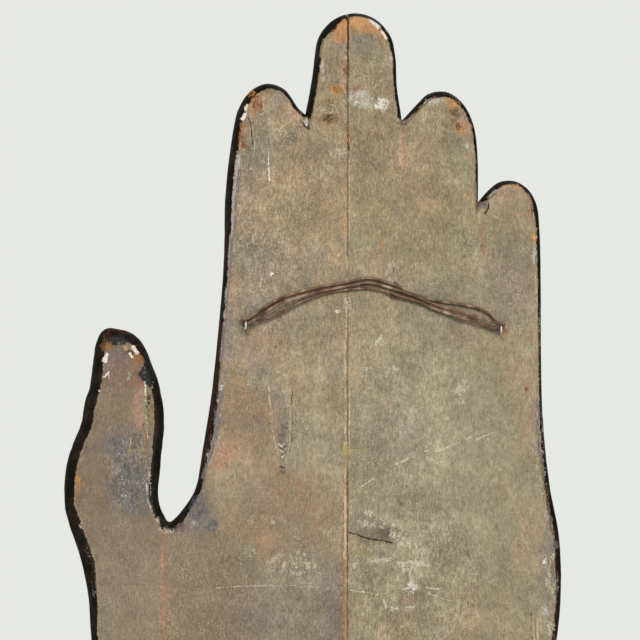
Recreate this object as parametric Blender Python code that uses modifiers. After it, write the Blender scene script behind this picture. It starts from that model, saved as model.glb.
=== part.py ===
# Palmistry trade sign: a hand cut from two edge-joined boards, hung by a wire on two screw eyes.
#
# Sizes are in metres. The fingers point up +Z, the plain back faces +Y and the painted palm faces -Y.
# Seen from the back the thumb is on the left, the +X side. The origin is the middle of the sawn bottom.

import math

import bmesh
import bpy
from mathutils import Matrix, Vector

FIT_GAP = 0.0003                # clearance between pieces that touch

# Boards
BOARD_THICKNESS = 0.025
EDGE_ROLL = 0.0042              # how far the rounded edges stand out past the flat faces
THUMB_ROLL = 0.0068             # the thumb is rounded more heavily
HEEL_ROLL = 0.0056              # so is the heel of the hand under the little finger
ROLL_ARC = math.radians(64)     # part of the ellipse that the edge follows, from mid thickness to face
ROLL_STEPS = 3                  # bands from mid thickness to each face
TURN_PER_POINT = math.radians(7)
LONGEST_EDGE = 0.030

# Fingers: root widths run from crotch to crotch, heights are from the bottom edge
INDEX_OUTER_X = 0.0762
INDEX_ROOT_WIDTH = 0.0596
MIDDLE_ROOT_WIDTH = 0.0780
RING_ROOT_WIDTH = 0.0620
LITTLE_ROOT_WIDTH = 0.0500
INDEX_TIP_WIDTH = 0.0576
MIDDLE_TIP_WIDTH = 0.0656
RING_TIP_WIDTH = 0.0606
LITTLE_TIP_WIDTH = 0.0496
INDEX_TIP_Z = 0.5888
MIDDLE_TIP_Z = 0.6458
RING_TIP_Z = 0.5840
LITTLE_TIP_Z = 0.5126
INDEX_CROWN = 0.0448            # height of the rounded fingertip
MIDDLE_CROWN = 0.0357
RING_CROWN = 0.0480
LITTLE_CROWN = 0.0320
INDEX_MIDDLE_CROTCH_Z = 0.5640
MIDDLE_RING_CROTCH_Z = 0.5600
RING_LITTLE_CROTCH_Z = 0.4947
MIDDLE_LEAN = 0.0010            # the middle fingertip stands over toward the ring finger
MIDDLE_THUMB_BULGE = 0.0026     # how far its sides swell past its tip, on the thumb side
MIDDLE_RING_BULGE = 0.0013      # and on the ring finger's side

# Thumb and wrist
THUMB_CROTCH_X = 0.1260
THUMB_CROTCH_Z = 0.2397
THUMB_LENGTH = 0.1543           # from the crotch up to the tip
THUMB_SPREAD = 0.0837           # from the crotch out to the widest point
HEEL_HALF_WIDTH = 0.1880
HEEL_Z = 0.1440
WRIST_WIDTH = 0.2400
WRIST_LENGTH = 0.0300           # straight stub above the sawn bottom

# Joint between the two boards
SEAM_X = -0.0160
CRACK_FOOT_Z = 0.6080           # the joint has opened from here up to the fingertip
CRACK_WIDTH = 0.0016
DOWEL_COUNT = 4
DOWEL_DIAMETER = 0.0095
DOWEL_LENGTH = 0.0380
DOWEL_CHAMFER = 0.0008
FIRST_DOWEL_Z = 0.0750
DOWEL_SPACING = 0.1450

# Screw eyes
EYE_WIRE = 0.0018
EYE_RADIUS = 0.0045             # ring centre line
EYE_STANDOFF = 0.0070           # ring centre from the back face
EYE_SHANK = 0.0140              # length in the wood
EYE_POINT = 0.0030
EYE_POINT_TAPER = 0.15          # share of the wire's radius left at the point
EYE_NECK = 0.0020               # the shank bends over into the ring within this height
EYE_RING_START = math.radians(-62)
EYE_RING_END = math.radians(245)
EYE_RING_POINTS = 26
THUMB_EYE_FROM_SEAM = 0.0834
LITTLE_EYE_FROM_SEAM = 0.1222
THUMB_EYE_Z = 0.3956
LITTLE_EYE_Z = 0.3920

# Hanging wire: five passes between the eyes, two layers deep
WIRE_DIAMETER = 0.0022
WIRE_LAYER = 0.00140            # each layer's distance from the middle of the bundle
WIRE_PEAK = 0.0397              # highest strand above the line through both eyes
WRAP_GAP = 0.00036              # between the wire's return bend and the ring
WRAP_ANGLE = math.radians(41)   # each return bend is turned this far to its own side of the bundle
WRAP_POINTS = 7                 # on the half circle of a return bend
LITTLE_LEG = 0.0050             # straight wire beside each ring before a strand joins the bundle
THUMB_LEG = 0.0020              # short, as the strands rise from the thumb-side ring at once
TOP_STRAND_RISE = 0.0042        # the top strand climbs this much more as it leaves its ring
WIRE_STEP = 0.0052              # point spacing along the strands
WIRE_TURN = math.radians(28)    # and the turn that calls for a point sooner

# Height of each strand above the line through the eyes, in metres, against its share of the way from
# the thumb-side eye to the other. The third value is the layer: -1 lies next to the board, 1 outside.
LOW_RIGHT = ((0.565, 0.0260, -1), (0.610, 0.0241, -1), (0.673, 0.0221, -1), (0.752, 0.0167, -1),
             (0.834, 0.0118, -1), (0.905, 0.0081, -1))
HIGH_BACK = ((0.026, 0.0070, -1.2), (0.054, 0.0096, -1), (0.126, 0.0192, -1), (0.216, 0.0258, -1),
             (0.303, 0.0306, -1), (0.394, 0.0343, -1), (0.480, 0.0354, -1), (0.551, 0.0330, -1),
             (0.610, 0.0302, -1), (0.673, 0.0268, -1), (0.752, 0.0227, -1), (0.834, 0.0206, -1),
             (0.905, 0.0179, -1), (0.948, 0.0142, -1))
LOW_CROSSING = ((0.026, 0.0024, -1.2), (0.054, 0.0041, -1), (0.126, 0.0102, -1), (0.216, 0.0196, -1),
                (0.303, 0.0265, -1), (0.394, 0.0303, -1), (0.440, 0.0313, -0.9), (0.480, 0.0317, 0),
                (0.520, 0.0306, 0.9), (0.551, 0.0288, 1), (0.610, 0.0253, 1), (0.673, 0.0216, 1),
                (0.752, 0.0151, 1), (0.834, 0.0098, 1), (0.905, 0.0057, 1))
MIDDLE_FRONT = ((0.026, 0.0034, 1.2), (0.054, 0.0070, 1), (0.126, 0.0172, 1), (0.216, 0.0238, 1),
                (0.303, 0.0287, 1), (0.394, 0.0328, 1), (0.480, 0.0360, 1), (0.551, 0.0330, 1),
                (0.610, 0.0293, 1), (0.673, 0.0252, 1), (0.752, 0.0187, 1), (0.834, 0.0142, 1),
                (0.905, 0.0105, 1))
HIGH_LEFT = ((0.026, 0.0080, 1.2), (0.054, 0.0120, 1), (0.126, 0.0212, 1), (0.216, 0.0279, 1),
             (0.303, 0.0322, 1), (0.394, 0.0361, 1), (0.478, WIRE_PEAK, 1), (0.551, 0.0367, 1),
             (0.612, 0.0326, 1))

PART_NAME = "palmistry_sign"
BACK_Y = BOARD_THICKNESS / 2


def new_material(name, color, roughness, metallic=0.0):
    material = bpy.data.materials.new(name)
    material.use_nodes = True
    shader = material.node_tree.nodes["Principled BSDF"]
    shader.inputs["Base Color"].default_value = (*color, 1.0)
    shader.inputs["Roughness"].default_value = roughness
    shader.inputs["Metallic"].default_value = metallic
    material.diffuse_color = (*color, 1.0)
    return material


def new_object(name, mesh, collection, material=None):
    obj = bpy.data.objects.new(name, mesh)
    collection.objects.link(obj)
    if material:
        mesh.materials.append(material)
    return obj


def claim(obj, name, collection, material=None):
    for other in obj.users_collection:
        other.objects.unlink(obj)
    collection.objects.link(obj)
    obj.name = name
    obj.data.name = name
    if material:
        obj.data.materials.append(material)
    return obj


def hide_cutter(obj):
    obj.hide_render = True
    obj.display_type = "WIRE"


def cut(obj, cutter, operation="DIFFERENCE"):
    modifier = obj.modifiers.new(cutter.name, "BOOLEAN")
    modifier.operation = operation
    modifier.solver = "EXACT"
    modifier.object = cutter


def smooth(mesh, angle=math.radians(35)):
    mesh.shade_smooth()
    mesh.set_sharp_from_angle(angle=angle)


def spline(points, steps):
    # A centripetal Catmull-Rom curve through points of any dimension, without its last point.
    path = []
    ends = [2 * points[0] - points[1]] + points + [2 * points[-1] - points[-2]]
    for p0, p1, p2, p3 in zip(ends, ends[1:], ends[2:], ends[3:]):
        t1 = math.sqrt((p1 - p0).length)
        t2 = t1 + math.sqrt((p2 - p1).length)
        t3 = t2 + math.sqrt((p3 - p2).length)
        for step in range(steps):
            t = t1 + (t2 - t1) * step / steps
            a1 = p0 * ((t1 - t) / t1) + p1 * (t / t1)
            a2 = p1 * ((t2 - t) / (t2 - t1)) + p2 * ((t - t1) / (t2 - t1))
            a3 = p2 * ((t3 - t) / (t3 - t2)) + p3 * ((t - t2) / (t3 - t2))
            b1 = a1 * ((t2 - t) / t2) + a2 * (t / t2)
            b2 = a2 * ((t3 - t) / (t3 - t1)) + a3 * ((t - t1) / (t3 - t1))
            path.append(b1 * ((t2 - t) / (t2 - t1)) + b2 * ((t - t1) / (t2 - t1)))
    return path


def thin_out(path):
    # Keeps a point wherever the curve has turned enough or run far enough since the last one kept.
    kept = [path[0]]
    turned = 0.0
    for before, here, after in zip(path, path[1:], path[2:]):
        turned += (here - before).xy.angle((after - here).xy)
        if turned >= TURN_PER_POINT or (here - kept[-1]).xy.length >= LONGEST_EDGE:
            kept.append(here)
            turned = 0.0
    return kept


def fingertip(centre_x, width, tip_z, crown, first, last, count):
    # Points on a half ellipse, by angle from the thumb side (0) over the tip (90) to the other (180).
    points = []
    for index in range(count):
        angle = math.radians(first + (last - first) * index / (count - 1))
        x = centre_x + width / 2 * math.cos(angle)
        z = tip_z - crown + crown * math.sin(angle)
        points.append(Vector((x, z, EDGE_ROLL)))
    return points


def thumb_points():
    # Shares of the thumb's spread and length, counted from its crotch: up the outer side, round the
    # blunt tip and down the inner side.
    shares = ((1.000, 0.157), (0.980, 0.282), (0.924, 0.395), (0.839, 0.512), (0.806, 0.612),
              (0.756, 0.700), (0.729, 0.809), (0.695, 0.930), (0.615, 0.992), (0.492, 0.996),
              (0.375, 0.978), (0.277, 0.940), (0.205, 0.872), (0.131, 0.770), (0.076, 0.665),
              (0.045, 0.519), (0.087, 0.250), (0.103, 0.138), (0.065, 0.055), (0.000, 0.000))
    return [Vector((THUMB_CROTCH_X + u * THUMB_SPREAD, THUMB_CROTCH_Z + v * THUMB_LENGTH, THUMB_ROLL))
            for u, v in shares]


def wrist_points(side, roll):
    # From the bottom corner up the straight stub and out over the heel of the hand.
    half = WRIST_WIDTH / 2
    flare = HEEL_HALF_WIDTH - half
    rise = HEEL_Z - WRIST_LENGTH
    shares = ((0.07, 0.00), (0.34, 0.26), (0.70, 0.53), (0.94, 0.79), (1.00, 1.00))
    points = [Vector((side * half, 0, roll))]
    for out, up in shares:
        points.append(Vector((side * (half + out * flare), WRIST_LENGTH + up * rise, roll)))
    return points


def outline_spans():
    # The outline as smooth spans between its sharp corners, as points of X, Z and edge roll.
    crotch_1 = Vector((INDEX_OUTER_X - INDEX_ROOT_WIDTH, INDEX_MIDDLE_CROTCH_Z, EDGE_ROLL))
    crotch_2 = Vector((crotch_1.x - MIDDLE_ROOT_WIDTH, MIDDLE_RING_CROTCH_Z, EDGE_ROLL))
    crotch_3 = Vector((crotch_2.x - RING_ROOT_WIDTH, RING_LITTLE_CROTCH_Z, EDGE_ROLL))
    little_outer_x = crotch_3.x - LITTLE_ROOT_WIDTH
    index_x = (INDEX_OUTER_X + crotch_1.x) / 2
    middle_x = (crotch_1.x + crotch_2.x) / 2 - MIDDLE_LEAN
    ring_x = (crotch_2.x + crotch_3.x) / 2
    little_x = (crotch_3.x + little_outer_x) / 2

    # Under the thumb the edge keeps part of the thumb's heavier rounding.
    below_thumb = [Vector((THUMB_CROTCH_X + x, THUMB_CROTCH_Z + z, roll)) for x, z, roll in (
        (0.0634, -0.0683, EDGE_ROLL), (0.0664, -0.0477, THUMB_ROLL), (0.0705, -0.0293, THUMB_ROLL),
        (0.0766, -0.0101, THUMB_ROLL), (0.0822, 0.0061, THUMB_ROLL))]
    palm_edge = [Vector((INDEX_OUTER_X + x, z, EDGE_ROLL)) for x, z in (
        (0.0416, 0.2462), (0.0330, 0.2575), (0.0280, 0.2680), (0.0230, 0.2970), (0.0174, 0.3296),
        (0.0102, 0.3944), (0.0060, 0.4470), (0.0046, 0.5030))]
    little_edge = [Vector((little_outer_x + x, z, roll)) for x, z, roll in (
        (-0.0011, 0.4480, EDGE_ROLL), (-0.0014, 0.3944, EDGE_ROLL), (-0.0022, 0.3360, EDGE_ROLL),
        (-0.0044, 0.3040, HEEL_ROLL), (-0.0089, 0.2652, HEEL_ROLL), (-0.0161, 0.2274, HEEL_ROLL),
        (-0.0180, 0.1816, HEEL_ROLL))]

    thumb_side = (wrist_points(1, EDGE_ROLL) + below_thumb + thumb_points() + palm_edge
                  + fingertip(index_x, INDEX_TIP_WIDTH, INDEX_TIP_Z, INDEX_CROWN, 5, 145, 6) + [crotch_1])
    crown_foot = MIDDLE_TIP_Z - MIDDLE_CROWN
    thumb_swell = Vector((middle_x + MIDDLE_TIP_WIDTH / 2 + MIDDLE_THUMB_BULGE,
                          (crotch_1.y + crown_foot) / 2, EDGE_ROLL))
    ring_swell = Vector((middle_x - MIDDLE_TIP_WIDTH / 2 - MIDDLE_RING_BULGE,
                         (crotch_2.y + crown_foot) / 2, EDGE_ROLL))
    middle = ([crotch_1, thumb_swell]
              + fingertip(middle_x, MIDDLE_TIP_WIDTH, MIDDLE_TIP_Z, MIDDLE_CROWN, 0, 180, 7)
              + [ring_swell, crotch_2])
    ring = ([crotch_2] + fingertip(ring_x, RING_TIP_WIDTH, RING_TIP_Z, RING_CROWN, 45, 180, 6)
            + [crotch_3])
    little = ([crotch_3]
              + fingertip(little_x, LITTLE_TIP_WIDTH, LITTLE_TIP_Z, LITTLE_CROWN, 45, 180, 6)
              + little_edge + wrist_points(-1, HEEL_ROLL)[::-1])
    return thumb_side, middle, ring, little


def outline():
    points = []
    for span in outline_spans():
        points += thin_out(spline(span, 12) + [span[-1]])
    points.append(span[-1])
    return points


def inward_shifts(points):
    # How far each outline point moves in where the edge meets a flat face: along the mitre of its two
    # edges, and along the bottom edge at the two sawn corners, so that the bottom stays flat.
    flat = [point.xy for point in points]
    normals = []
    for here, after in zip(flat, flat[1:] + flat[:1]):
        along = (after - here).normalized()
        normals.append(Vector((-along.y, along.x)))
    shifts = []
    for index, point in enumerate(points):
        before, after = normals[index - 1], normals[index]
        mitre = (before + after) / max(0.2, 1 + before.dot(after))
        shifts.append(mitre * point.z)
    shifts[0] = Vector((-points[0].z, 0))
    shifts[-1] = Vector((points[-1].z, 0))
    return flat, shifts


def hand_blank(name, material):
    # The whole hand as one rounded-edge plate: a loft through outlines that draw in towards each face.
    flat, shifts = inward_shifts(outline())
    bm = bmesh.new()
    rings = []
    for step in range(-ROLL_STEPS, ROLL_STEPS + 1):
        angle = ROLL_ARC * step / ROLL_STEPS
        y = BACK_Y * math.sin(angle) / math.sin(ROLL_ARC)
        share = (1 - math.cos(angle)) / (1 - math.cos(ROLL_ARC))
        rings.append([bm.verts.new((p.x + s.x * share, y, p.y + s.y * share))
                      for p, s in zip(flat, shifts)])
    count = len(flat)
    bottom = []
    for lower, upper in zip(rings, rings[1:]):
        for index in range(count):
            after = (index + 1) % count
            face = bm.faces.new((lower[index], lower[after], upper[after], upper[index]))
            if after == 0:
                bottom.append(face)
    bm.faces.new(rings[0])
    bm.faces.new(rings[-1])
    bmesh.ops.dissolve_faces(bm, faces=bottom)
    bmesh.ops.recalc_face_normals(bm, faces=bm.faces)
    mesh = bpy.data.meshes.new(name)
    bm.to_mesh(mesh)
    bm.free()
    mesh.materials.append(material)
    smooth(mesh)
    return mesh


def mesh_from_curve(curve_object, name, collection):
    # A curve's end caps are loose, so they are welded on once it is a mesh.
    depsgraph = bpy.context.evaluated_depsgraph_get()
    mesh = bpy.data.meshes.new_from_object(curve_object.evaluated_get(depsgraph))
    bm = bmesh.new()
    bm.from_mesh(mesh)
    bmesh.ops.remove_doubles(bm, verts=bm.verts, dist=0.00001)
    bm.to_mesh(mesh)
    bm.free()
    obj = new_object(name, mesh, collection)
    obj.matrix_world = curve_object.matrix_world
    bpy.data.objects.remove(curve_object)
    return obj


def half_plane_cutter(name, side, collection):
    # The space of one board: everything on its side of the seam, drawn back where the joint is open.
    reach = THUMB_CROTCH_X + THUMB_SPREAD + HEEL_HALF_WIDTH
    top = MIDDLE_TIP_Z + BOARD_THICKNESS
    seam = SEAM_X + side * FIT_GAP / 2
    opened = SEAM_X + side * (CRACK_WIDTH / 2) * (top - CRACK_FOOT_Z) / (MIDDLE_TIP_Z - CRACK_FOOT_Z)
    corners = ((seam, -BOARD_THICKNESS), (seam, CRACK_FOOT_Z), (opened, top), (side * reach, top),
               (side * reach, -BOARD_THICKNESS))
    curve = bpy.data.curves.new(name, "CURVE")
    curve.dimensions = "2D"
    curve.fill_mode = "BOTH"
    curve.extrude = BOARD_THICKNESS
    line = curve.splines.new("POLY")
    line.points.add(len(corners) - 1)
    for point, corner in zip(line.points, corners):
        point.co = (*corner, 0, 1)
    line.use_cyclic_u = True
    drawn = bpy.data.objects.new(name, curve)
    collection.objects.link(drawn)
    drawn.rotation_euler.x = math.radians(90)
    bpy.context.view_layer.update()
    cutter = mesh_from_curve(drawn, name, collection)
    hide_cutter(cutter)
    return cutter


def cylinder_cutter(name, radius, depth, location, rotation, collection):
    bpy.ops.mesh.primitive_cylinder_add(vertices=20, radius=radius, depth=depth, location=location,
                                        rotation=rotation)
    cutter = claim(bpy.context.object, name, collection)
    hide_cutter(cutter)
    return cutter


def dowel_heights():
    return [FIRST_DOWEL_Z + DOWEL_SPACING * index for index in range(DOWEL_COUNT)]


def dowel_bore(index, z, collection):
    along_x = (0, math.radians(90), 0)
    return cylinder_cutter(f"dowel_bore_{index}", DOWEL_DIAMETER / 2 + FIT_GAP,
                           DOWEL_LENGTH + 2 * FIT_GAP, (SEAM_X, 0, z), along_x, collection)


def make_dowel(index, z, collection, material):
    bpy.ops.mesh.primitive_cylinder_add(vertices=20, radius=DOWEL_DIAMETER / 2, depth=DOWEL_LENGTH,
                                        location=(SEAM_X, 0, z), rotation=(0, math.radians(90), 0))
    dowel = claim(bpy.context.object, f"edge_dowel_{index}", collection, material)
    bevel = dowel.modifiers.new("chamfer", "BEVEL")
    bevel.width = DOWEL_CHAMFER
    bevel.segments = 1
    bevel.limit_method = "ANGLE"
    bevel.angle_limit = math.radians(60)
    smooth(dowel.data)
    return dowel


def eye_positions():
    thumb = Vector((SEAM_X + THUMB_EYE_FROM_SEAM, BACK_Y + EYE_STANDOFF, THUMB_EYE_Z))
    little = Vector((SEAM_X - LITTLE_EYE_FROM_SEAM, BACK_Y + EYE_STANDOFF, LITTLE_EYE_Z))
    return thumb, little


def hinge_frame():
    # At the thumb-side eye: X runs away from the other eye, Y away from the board, Z up.
    thumb, little = eye_positions()
    along = (thumb - little).normalized()
    out = Vector((0, 1, 0))
    frame = Matrix((along, out, along.cross(out))).transposed().to_4x4()
    frame.translation = thumb
    return frame


def eye_path():
    # Up the shank, round the neck and once round the ring, ending just short of the neck again.
    shank_foot = -(EYE_STANDOFF + EYE_SHANK)
    path = [(Vector((0, shank_foot, 0)), EYE_POINT_TAPER), (Vector((0, shank_foot + EYE_POINT, 0)), 1.0)]
    path.append((Vector((0, -EYE_RADIUS - EYE_NECK, 0)), 1.0))
    path.append((Vector((0, -EYE_RADIUS - 0.4 * EYE_NECK, 0.2 * EYE_NECK)), 1.0))
    for index in range(EYE_RING_POINTS):
        angle = EYE_RING_START + (EYE_RING_END - EYE_RING_START) * index / (EYE_RING_POINTS - 1)
        path.append((Vector((0, math.sin(angle), math.cos(angle))) * EYE_RADIUS, 1.0))
    return path


def make_tube(name, path, diameter, resolution, collection, material):
    curve = bpy.data.curves.new(name, "CURVE")
    curve.dimensions = "3D"
    curve.bevel_depth = diameter / 2
    curve.bevel_resolution = resolution
    curve.use_fill_caps = True
    line = curve.splines.new("POLY")
    line.points.add(len(path) - 1)
    for point, (place, radius) in zip(line.points, path):
        point.co = (*place, 1)
        point.radius = radius
    curve.materials.append(material)
    tube = bpy.data.objects.new(name, curve)
    collection.objects.link(tube)
    return tube


def make_eye(name, place, collection, material):
    eye = make_tube(name, eye_path(), EYE_WIRE, 3, collection, material)
    frame = hinge_frame()
    frame.translation = place
    eye.matrix_world = frame
    return eye


def wrap(eye_x, outward, layer, inner_first, leg, rise=0.0):
    # A return bend: one leg through the ring, a half circle round its wire and one leg outside it,
    # which may rise away from the ring.
    bend = EYE_WIRE / 2 + WIRE_DIAMETER / 2 + WRAP_GAP
    direction = Vector((0, layer * math.sin(WRAP_ANGLE), math.cos(WRAP_ANGLE)))
    legs = Vector((-outward, 0, 0))
    points = [legs * leg + direction * (EYE_RADIUS - bend)]
    for index in range(WRAP_POINTS):
        angle = math.pi * (index / (WRAP_POINTS - 1) - 0.5)
        points.append(direction * (EYE_RADIUS + bend * math.sin(angle)) - legs * bend * math.cos(angle))
    points.append(legs * leg + direction * (EYE_RADIUS + bend) + Vector((0, 0, rise)))
    if not inner_first:
        points.reverse()
    return [point + Vector((eye_x, 0, 0)) for point in points]


def strand(stations, span):
    return [Vector((-share * span, layer * WIRE_LAYER, height)) for share, height, layer in stations]


def wire_path(span):
    # The wire starts beside its own far end near the middle, and goes round both eyes twice.
    route = strand(LOW_RIGHT, span) + wrap(-span, -1, -1, True, LITTLE_LEG, TOP_STRAND_RISE)
    route += strand(HIGH_BACK[::-1], span) + wrap(0, 1, -1, False, THUMB_LEG)
    route += strand(LOW_CROSSING, span) + wrap(-span, -1, 1, True, LITTLE_LEG)
    route += strand(MIDDLE_FRONT[::-1], span) + wrap(0, 1, 1, True, THUMB_LEG)
    route += strand(HIGH_LEFT, span)
    fine = spline(route, 8) + [route[-1]]
    path = [fine[0]]
    turned = 0.0
    for before, here, after in zip(fine, fine[1:], fine[2:]):
        turned += (here - before).angle(after - here)
        if turned >= WIRE_TURN or (here - path[-1]).length >= WIRE_STEP:
            path.append(here)
            turned = 0.0
    return path + [fine[-1]]


def least_gap(path, diameter):
    # Clear distance between the tube and itself, away from each point's own neighbourhood.
    travelled = [0.0]
    for before, here in zip(path, path[1:]):
        travelled.append(travelled[-1] + (here - before).length)
    best = math.inf
    for i, here in enumerate(path):
        for j in range(i + 2, len(path) - 1):
            if travelled[j] - travelled[i] < 3 * diameter:
                continue
            edge = path[j + 1] - path[j]
            share = max(0.0, min(1.0, (here - path[j]).dot(edge) / edge.length_squared))
            best = min(best, (here - path[j] - edge * share).length - diameter)
    return best, travelled[-1]


def make_hanging_wire(collection, material):
    # The hinge empty stands on the line through both eyes; the wire leans back until it meets the board.
    thumb, little = eye_positions()
    path = wire_path((little - thumb).length)
    hinge = bpy.data.objects.new("wire_hinge", None)
    collection.objects.link(hinge)
    hinge.matrix_world = hinge_frame()
    wire = make_tube("hanging_wire", [(place, 1.0) for place in path], WIRE_DIAMETER, 2, collection,
                     material)
    wire.parent = hinge
    board_side_peak = max(height for share, height, layer in HIGH_BACK)
    play = EYE_STANDOFF - WIRE_LAYER - WIRE_DIAMETER / 2 - FIT_GAP
    lean = math.asin(play / board_side_peak)
    wire.rotation_euler.x = lean
    gap, length = least_gap(path, WIRE_DIAMETER)
    print(f"hanging wire: {len(path)} points, {length:.3f} m long, least gap to itself {gap * 1000:.2f} mm,"
          f" lean {math.degrees(lean):.1f} degrees")
    return wire


def make_board(name, side, mesh, bores, collection, cutters):
    board = new_object(name, mesh, collection)
    cut(board, half_plane_cutter(f"{name}_space", side, cutters), "INTERSECT")
    for bore in bores:
        cut(board, bore)
    return board


def build():
    for obj in list(bpy.data.objects):
        bpy.data.objects.remove(obj)
    sign = bpy.data.collections.new(PART_NAME)
    cutters = bpy.data.collections.new("cutters")
    bpy.context.scene.collection.children.link(sign)
    bpy.context.scene.collection.children.link(cutters)

    weathered = new_material("weathered_board", (0.29, 0.25, 0.17), 0.75)
    birch = new_material("birch_dowel", (0.55, 0.38, 0.20), 0.6)
    zinc = new_material("dull_zinc_wire", (0.30, 0.28, 0.25), 0.45, 1.0)
    rusty = new_material("rusty_wire", (0.13, 0.075, 0.05), 0.6, 0.6)

    bores = [dowel_bore(index, z, cutters) for index, z in enumerate(dowel_heights(), 1)]
    along_y = (math.radians(90), 0, 0)
    pilots = []
    for name, place in zip(("thumb_side_pilot", "little_finger_side_pilot"), eye_positions()):
        depth = 2 * (EYE_SHANK + FIT_GAP)
        pilots.append(cylinder_cutter(name, EYE_WIRE / 2 + FIT_GAP, depth, (place.x, BACK_Y, place.z),
                                      along_y, cutters))

    blank = hand_blank("hand_blank", weathered)
    make_board("thumb_side_board", 1, blank, bores + pilots[:1], sign, cutters)
    make_board("little_finger_side_board", -1, blank.copy(), bores + pilots[1:], sign, cutters)
    for index, z in enumerate(dowel_heights(), 1):
        make_dowel(index, z, sign, birch)
    thumb, little = eye_positions()
    make_eye("thumb_side_screw_eye", thumb, sign, zinc)
    make_eye("little_finger_side_screw_eye", little, sign, zinc)
    make_hanging_wire(sign, rusty)


build()
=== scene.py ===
import math

import bmesh
import bpy
import numpy as np
from mathutils import Matrix, Vector, geometry, noise


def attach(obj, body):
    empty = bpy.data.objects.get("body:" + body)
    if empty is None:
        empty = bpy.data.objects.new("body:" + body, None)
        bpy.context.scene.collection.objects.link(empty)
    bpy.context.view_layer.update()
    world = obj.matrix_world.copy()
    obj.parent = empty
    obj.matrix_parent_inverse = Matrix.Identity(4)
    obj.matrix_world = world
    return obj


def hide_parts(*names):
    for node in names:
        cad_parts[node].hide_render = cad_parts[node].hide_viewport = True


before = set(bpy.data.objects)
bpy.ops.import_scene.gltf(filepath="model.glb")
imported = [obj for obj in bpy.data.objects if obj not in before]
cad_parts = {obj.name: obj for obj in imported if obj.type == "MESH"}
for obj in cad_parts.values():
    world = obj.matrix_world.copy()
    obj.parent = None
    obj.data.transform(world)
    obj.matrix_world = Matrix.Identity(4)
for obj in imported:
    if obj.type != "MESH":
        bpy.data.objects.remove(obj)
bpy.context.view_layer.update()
scene = bpy.context.scene
noise.seed_set(7)                                    # the vector noise takes the clock's time without it
print("frame loaded")

# camera: square picture, the sign's plain back seen a little from the thumb's side
cameraView = {"azimuth": 172.0, "distance": 3.0, "target": (0.0048, 0.0, 0.400),
              "pixelSize": 0.0008, "pictureSize": 640, "sensor": 36.0, "near": 0.05, "far": 60.0}

turn = math.radians(cameraView["azimuth"])
toCamera = Vector((math.sin(turn), -math.cos(turn), 0))
cameraPlace = Vector(cameraView["target"]) + toCamera * cameraView["distance"]
pictureRight = Vector((-toCamera.y, toCamera.x, 0))
focalPixels = cameraView["distance"] / cameraView["pixelSize"]
middlePixel = cameraView["pictureSize"] / 2


def inScene(name, data):
    body = bpy.data.objects.new(name, data)
    scene.collection.objects.link(body)
    return body


def aimed(body, place, back):
    # Puts the camera or a lamp in its place, looking the other way from `back`.
    body.location = place
    body.rotation_mode = "QUATERNION"
    body.rotation_quaternion = (-back).to_track_quat("-Z", "Y")


def placeCamera():
    lens = bpy.data.cameras.new("camera")
    lens.sensor_width = cameraView["sensor"]
    lens.lens = cameraView["sensor"] * focalPixels / cameraView["pictureSize"]
    lens.clip_start, lens.clip_end = cameraView["near"], cameraView["far"]
    scene.camera = inScene("camera", lens)
    aimed(scene.camera, cameraPlace, toCamera)


def pictureOf(points):
    # Where points on the object show in the picture.
    away = points - np.array(cameraPlace)
    depth = -away @ np.array(toCamera)
    return (middlePixel + focalPixels * (away @ np.array(pictureRight)) / depth,
            middlePixel - focalPixels * away[:, 2] / depth)


def onBack(px, py):
    # The other way: from the picture onto the flat back, as X and Z in metres.
    ray = (np.outer(np.ones(len(px)), -np.array(toCamera) * focalPixels)
           + np.outer(px - middlePixel, pictureRight))
    ray[:, 2] += middlePixel - py
    reach = (boardLook["half"] - cameraPlace.y) / ray[:, 1]
    return np.column_stack((cameraPlace.x + reach * ray[:, 0], cameraPlace.z + reach * ray[:, 2]))


placeCamera()
print("camera placed")


def linear(hexColour):
    channels = [int(hexColour[i:i + 2], 16) / 255 for i in (1, 3, 5)]
    return tuple(c / 12.92 if c <= 0.04045 else ((c + 0.055) / 1.055) ** 2.4 for c in channels) + (1.0,)


# short names for the nodes used most: Blender's name, the sockets that take the values in turn, settings
nodeKinds = {
    "noise": ("ShaderNodeTexNoise", ("Vector", "Scale", "Detail", "Roughness"), {}),
    "range": ("ShaderNodeMapRange", range(5), {}),
    "softRange": ("ShaderNodeMapRange", range(5), {"interpolation_type": "SMOOTHSTEP"}),
    "ramp": ("ShaderNodeValToRGB", (0,), {}),
    "mix": ("ShaderNodeMix", (0, 6, 7), {"data_type": "RGBA"}),
    "tint": ("ShaderNodeMix", (0, 6, 7), {"data_type": "RGBA", "blend_type": "MULTIPLY"}),
    "scaled": ("ShaderNodeVectorMath", (0, 3), {"operation": "SCALE"}),
    "circle": ("GeometryNodeCurvePrimitiveCircle", ("Resolution", "Radius"), {"mode": "RADIUS"}),
    "bump": ("ShaderNodeBump", ("Height", "Distance", "Strength"), {}),
    "principled": ("ShaderNodeBsdfPrincipled", ("Base Color", "Roughness", "Normal", "IOR",
                                                "Specular IOR Level", "Metallic"), {})}
for operation in ("MULTIPLY", "MULTIPLY_ADD", "DIVIDE", "SUBTRACT", "POWER", "MAXIMUM", "COSINE"):
    nodeKinds[operation] = ("ShaderNodeMath", range(3), {"operation": operation})


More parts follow.
